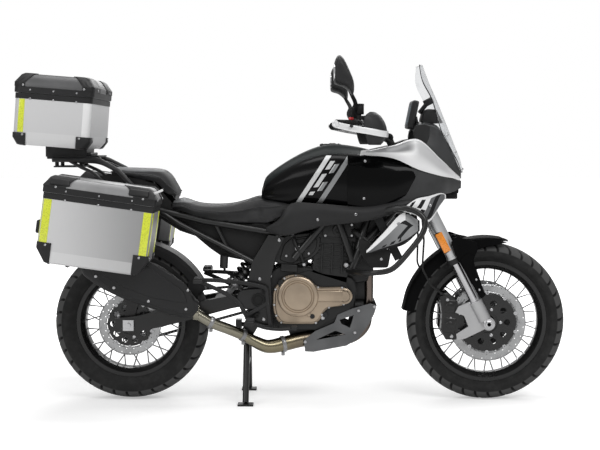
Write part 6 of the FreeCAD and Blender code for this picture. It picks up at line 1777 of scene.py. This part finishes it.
class BIKE_OT_exhaust(Operator):
    """Header pipes, link pipe with bands, silencer with a bolted shield, its collar and outlet"""
    bl_idname = "bike.exhaust"
    bl_label = "Exhaust"

    def execute(self, context):
        pipes, bands = Form(), Form()
        for side in BOTH:
            route = [(250, side * 52, 700), (290, side * 52, 672), (308, side * 50, 600),
                     (310, side * 49, 500), (308, side * 44, 380), (296, side * 38, 306),
                     (240, side * 30, 256), (150, -30 + side * 21, 246), (60, -60 + side * 20, 258),
                     (0, -84 + side * 14, 252)]
            path = spline(route, 90)
            pipes.tube(path, 19.0, 20)
            for spot in (16, 40):
                way = unit(path[spot + 1] - path[spot - 1])
                bands.revolve([(-7, 18.5), (-7, 21.5), (-4, 23), (4, 23), (7, 21.5), (7, 18.5)], path[spot],
                              way, 36, closed=True)
        link = spline([(84, -80, 268), (20, -90, 258), (-44, -106, 244), (-108, -126, 237),
                       (-160, -134, 258), (-200, -142, 282), (-262, -164, 312), (-318, -182, 336),
                       (-356, -192, 356), (-400, -200, 386)], 90)
        pipes.tube(link, np.interp(np.arange(90), [0, 22, 46, 89], [32, 30, 22, 22]), 24)
        for spot in (20, 51, 74):
            way = unit(link[spot + 1] - link[spot - 1])
            wide = float(np.interp(spot, [0, 22, 46, 89], [32, 30, 22, 22]))
            bands.revolve([(-8, wide - 1), (-8, wide + 2.5), (-5, wide + 4), (5, wide + 4), (8, wide + 2.5),
                           (8, wide - 1)], link[spot],
                          way, 40, closed=True)
            bands.pillow(link[spot] - Z * (wide + 9), (7, 7, 8), 2)
        piece("exhaust_pipes", pipes, "stainless", replaces=("exhaust_pipe",))
        piece("exhaust_bands", bands, "stainless", "spring_steel")
        t = np.radians(np.arange(28) * 360 / 28)
        power = 0.62
        co, si = np.cos(t), np.sin(t)
        across, high = np.sign(co) * np.abs(co) ** power, np.sign(si) * np.abs(si) ** power
        rows = [np.stack([np.full(28, float(x)), SILENCER_Y + half * across,
                          (low + top) / 2 + (top - low) / 2 * high], -1)
                for x, low, top, half in SILENCER]
        piece("silencer_shell", Form().skin(spline(rows, 50)), "silencer_black", replaces=("silencer",),
              sharp=50)
        collar, bolts, tip = Form(), Form(), Form()
        way = unit((-0.95, 0, 0.1))
        collar.revolve([(-8, 24), (-8, 29), (-4, 31), (10, 31), (14, 28), (14, 24)], at(-392, -200, 386),
                       way, 40, closed=True)
        shield = rounded([(-424, 502), (-392, 410), (-430, 388), (-560, 424), (-700, 472), (-806, 540),
                          (-800, 596), (-574, 598)], 20)
        tip.plate(shield, 4 - SHIELD_FACE, -SHIELD_FACE, Y, 1.6)
        ridge = rounded([(-440, 480), (-424, 430), (-560, 452), (-690, 500), (-770, 552), (-760, 578),
                         (-580, 580)], 16)
        tip.plate(ridge, -253.5, -257.0, Y, 2.0)
        piece("silencer_shield", tip, "silencer_black")
        bolts.bolts(((-432, 408), (-424, 484), (-582, 440), (-588, 590), (-720, 494), (-782, 588),
                     (-792, 540)), SHIELD_FACE, RIGHT, 6.0, 4.0)
        end = at(-846, SILENCER_Y, 584)
        back = unit((-1.0, 0, 0.12))
        collar.revolve([(-6, 21), (5, 23), (7, 21), (7, 18.5), (-30, 18), (-30, 0.1)], end, back, 40)
        piece("silencer_collar", collar, "stainless")
        piece("silencer_bolts", bolts, "axle_steel", "bolt_steel")
        return {"FINISHED"}


CHAIN_Y = 92
# each sprocket's place (x, z) and the radius of the chain's line on it
REAR_SPROCKET, FRONT_SPROCKET = ((-680.0, 325.0), 100.0), ((-43.0, 438.0), 39.0)


def chain_path(count):
    """The chain's line: two arcs about the sprockets and the two runs that touch both, spaced evenly."""
    (rear, big), (front, small) = REAR_SPROCKET, FRONT_SPROCKET
    gap = np.subtract(front, rear)
    length = np.hypot(*gap)
    base, open_ = math.atan2(gap[1], gap[0]), math.acos((big - small) / length)
    a = np.linspace(base + open_, base + 2 * np.pi - open_, 200)
    b = np.linspace(base - open_, base + open_, 80)
    line = np.concatenate([rear + big * np.stack([np.cos(a), np.sin(a)], -1),
                           front + small * np.stack([np.cos(b), np.sin(b)], -1)])
    line = np.concatenate([line, line[:1]])
    travel = np.concatenate([[0], np.cumsum(np.hypot(*np.diff(line, axis=0).T))])
    s = np.linspace(0, travel[-1], count, endpoint=False)
    return np.stack([np.interp(s, travel, line[:, 0]), np.interp(s, travel, line[:, 1])],
                    -1), travel[-1] / count


class BIKE_OT_running_gear(Operator):
    """Chain links, spring, pegs, rear lamp, plate holder and indicators"""
    bl_idname = "bike.running_gear"
    bl_label = "Running gear"

    def execute(self, context):
        spots, pitch = chain_path(128)
        plates, rollers = Form(), Form()
        after = np.roll(spots, -1, 0)
        stadium = np.array([(c * 5.4 + s * pitch / 2, d * 5.4) for s, c, d in
                            ((1, 0, -1), (1, .87, -.5), (1, .87, .5), (1, 0, 1), (-1, 0, 1), (-1, -.87, .5),
                             (-1, -.87, -.5), (-1, 0, -1))])
        for k, (p, q) in enumerate(zip(spots, after)):
            way = (q - p) / np.hypot(*(q - p))
            turn = np.array(((way[0], way[1]), (-way[1], way[0])))
            outline = (p + q) / 2 + stadium @ turn
            reach = 6.6 if k % 2 else 4.6
            for side in BOTH:
                plates.plate(outline, CHAIN_Y + side * reach, CHAIN_Y + side * (reach - 1.6))
            rollers.revolve([(-7.2, 0.1), (-7.2, 2.6), (7.2, 2.6), (7.2, 0.1)], at(p[0], CHAIN_Y, p[1]), Y, 6)
            rollers.revolve([(-2.8, 2.6), (-2.8, 4.2), (2.8, 4.2), (2.8, 2.6)], at(p[0], CHAIN_Y, p[1]), Y, 8)
        piece("chain_plates", plates, "chain_steel", "cast_black", ("chain",), 30)
        piece("chain_rollers", rollers, "chain_steel", "spring_steel", sharp=30)
        foot, top = at(-272, 0, 450), at(-116, 0, 646)
        way = unit(top - foot)
        e1 = np.cross(way, Y)
        span = np.linalg.norm(top - foot)
        turns = np.linspace(0, 2 * np.pi * 6.5, 260)
        height = np.linspace(52, span - 44, 260)
        path = foot + height[:, None] * way + 33 * (np.cos(turns)[:, None] * e1 + np.sin(turns)[:, None] * Y)
        coil = Form().tube(path, 6.2, 10, hint=way)
        piece("shock_spring", coil, "spring_steel", "frame_black", ("shock_absorber",))
        damper = Form()
        damper.revolve([(0, 0.1), (0, 14), (30, 15), (34, 42), (40, 42), (46, 38), (48, 22), (120, 22),
                        (122, 9), (span - 44, 9), (span - 42, 42), (span - 34, 42), (span - 28, 20),
                        (span, 16), (span, 0.1)], foot, way, 48)
        damper.revolve([(-22, 0.1), (-22, 14), (22, 14), (22, 0.1)], foot, Y, 32)
        damper.revolve([(-22, 0.1), (-22, 14), (22, 14), (22, 0.1)], top, Y, 32)
        piece("shock_body", damper, "cast_aluminium")
        knob = Form().revolve([(-26, 0.1), (-26, 15), (-24, 17), (24, 17), (26, 15), (26, 0.1)],
                              at(-288, -112, 585), unit((0.05, 0, 1.0)), 24)
        knob.tube(spline([(-288, -112, 562), (-280, -96, 540), (-250, -60, 524), (-220, -30, 540)], 24), 5,
                  10)
        piece("preload_knob", knob, "black_plastic", "cast_black")
        guards, hangers, pegs, caps = Form(), Form(), Form(), Form()
        for side in BOTH:
            route = [(222, 140, 552), (262, 222, 554), (318, 276, 557), (392, 287, 574), (461, 286, 646),
                     (512, 280, 716), (521, 272, 766), (488, 260, 800), (428, 242, 814), (366, 206, 800),
                     (312, 150, 776)]
            guards.tube(spline([(x, side * y, z) for x, y, z in route], 120), 11.5, 20)
            for route, wide in (([(-392, 516), (-330, 515), (-260, 510), (-190, 502), (-126, 488),
                                  (-108, 474)], (8, 9, 10, 12, 16, 15)),
                                ([(-392, 512), (-330, 486), (-262, 452), (-222, 420), (-204, 388),
                                  (-190, 362)], (7, 7, 9, 13, 14, 12)),
                                ([(-196, 366), (-166, 340), (-130, 326), (-100, 322)], (11, 11, 10, 9)),
                                ([(-112, 482), (-108, 440), (-104, 390), (-98, 340), (-94, 322)],
                                 (14, 12, 9, 8, 7)),
                                ([(-192, 372), (-158, 392), (-128, 410), (-108, 424)], (11, 12, 12, 10))):
                path = spline([(x, side * 168, z) for x, z in route], 40)
                ribbon(hangers, path, np.interp(np.linspace(0, 1, 40), np.linspace(0, 1, len(wide)), wide),
                       8.0, Y)
            hangers.plate(rounded([(-222, 474), (-112, 486), (-104, 430), (-134, 396), (-206, 396),
                                   (-236, 440)], 16),
                          side * 162, side * 174, Y, 3)
            caps.revolve([(0, 27), (5, 27), (8, 24), (8, 20), (3, 19), (3, 0.1)], at(-145, side * 173, 436),
                         Y * side, 48)
            for x, z in ((-176, 350), (-382, 516), (-150, 372), (-122, 470)):
                caps.revolve([(0, 9), (6, 9), (8, 7), (8, 3.6), (4, 3.2), (4, 0.1)], at(x, side * 174, z),
                             Y * side, 20)
            for x, z, low, high in ((-176, 352, 196, 296), (-382, 520, 196, 284)):
                pegs.tube(np.array([(x, side * 164, z - 2), (x, side * (low + 8), z - 2)], float), 10, 14)
                pegs.pillow((x, side * (low + high) / 2, z + 1), (19, (high - low) / 2, 8), 3)
                for k in range(7):
                    pegs.pillow((x, side * (low + 10 + k * (high - low - 20) / 6), z + 10), (17, 3.2, 4), 1.5)
            pegs.tube(spline([(-176, side * 184, 344), (-120, side * 194, 324), (-60, side * 202, 318),
                              (-16, side * 208, 322), (0, side * 220, 326)], 40), 6.5, 14, hint=Z)
            pegs.pillow((2, side * 226, 328), (12, 16, 8), 4)
        piece("guard_tubes", guards, "frame_black", replaces=("crash_bars",))
        piece("peg_hangers", hangers, "cast_black", replaces=("footrests",), bevel=1.0)
        piece("foot_pegs", pegs, "cast_black")
        piece("pivot_caps", caps, "cast_black", "matt_black")
        lamp, signal, stems, plate = Form(), Form(), Form(), Form()
        low, high = (np.array(c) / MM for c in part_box("tail_unit"))
        rear = at(low[0], 0, 0)
        lamp.pillow(rear + (16, 0, 880), (20, 74, 12), 9)
        piece("tail_lamp", lamp, "lamp_lens", "red_lens", ("lamps",))
        for side in BOTH:
            root, tip = at(-905, side * 40, 700), at(-930, side * 176, 704)
            stems.tube(spline([root, (root + tip) / 2 + (0, 0, 4), tip], 16), 6.5, 12, hint=Z)
            stems.pillow(tip + (-4, side * 18, 0), (20, 32, 12), 9)
            signal.pillow(tip + (-16, side * 18, 0), (12, 28, 9.5), 7)
        plate.pillow((-935, 0, 640), (3, 92, 62), 2.5, leaning(-0.3))
        for shift in (-60, 0, 60):
            plate.pillow((-932, shift, 585), (4, 10, 18), 3, leaning(-0.3))
        piece("indicator_stems", stems, "black_plastic")
        piece("indicator_lenses", signal, "lamp_lens", "orange_lens")
        piece("plate_holder", plate, "black_plastic", "matt_black")
        return {"FINISHED"}


class BikeSizes(bpy.types.PropertyGroup):
    """Sizes that may be changed before the pieces are built."""
    tread_depth: bpy.props.FloatProperty(name="Tread depth", description="Depth of the tyre grooves",
                                         default=0.005, min=0.001, max=0.01, unit="LENGTH")


class BikeLook(bpy.types.PropertyGroup):
    """Colours and light levels."""
    case_colour: bpy.props.FloatVectorProperty(name="Case colour",
                                               description="Aluminium of the luggage cases", subtype="COLOR",
                                               default=(0.66, 0.66, 0.665))
    lamp_level: bpy.props.FloatProperty(name="Lamp level", description="Share of each lamp's power",
                                        default=1.0, subtype="FACTOR", min=0.0, max=2.0)
    fill_light: bpy.props.FloatProperty(name="Fill light", description="Light from all round", default=0.30,
                                        subtype="FACTOR", min=0.0, max=1.0)


STEPS = (BIKE_OT_studio, BIKE_OT_finishes, BIKE_OT_kept_parts, BIKE_OT_wheels, BIKE_OT_bodywork,
         BIKE_OT_seats, BIKE_OT_luggage, BIKE_OT_front_end, BIKE_OT_controls, BIKE_OT_cockpit,
         BIKE_OT_engine, BIKE_OT_exhaust, BIKE_OT_running_gear)


class BIKE_PT_panel(bpy.types.Panel):
    """Lists the sizes, the colours and the operators"""
    bl_idname = "BIKE_PT_panel"
    bl_label = "Motorcycle"
    bl_space_type = "VIEW_3D"
    bl_region_type = "UI"
    bl_category = "Motorcycle"

    def draw(self, context):
        for group in (context.scene.bike_sizes, context.scene.bike_look):
            for name in group.__annotations__:
                self.layout.prop(group, name)
        for step in STEPS:
            self.layout.operator(step.bl_idname)


def register():
    for kind in (BikeSizes, BikeLook, *STEPS, BIKE_PT_panel):
        bpy.utils.register_class(kind)
    bpy.types.Scene.bike_sizes = bpy.props.PointerProperty(type=BikeSizes)
    bpy.types.Scene.bike_look = bpy.props.PointerProperty(type=BikeLook)


def unregister():
    del bpy.types.Scene.bike_sizes
    del bpy.types.Scene.bike_look
    for kind in (BIKE_PT_panel, *reversed(STEPS), BikeLook, BikeSizes):
        bpy.utils.unregister_class(kind)


def main():
    register()
    for step in STEPS:
        group, word = step.bl_idname.split(".")
        getattr(getattr(bpy.ops, group), word)()


if __name__ == "__main__":
    main()
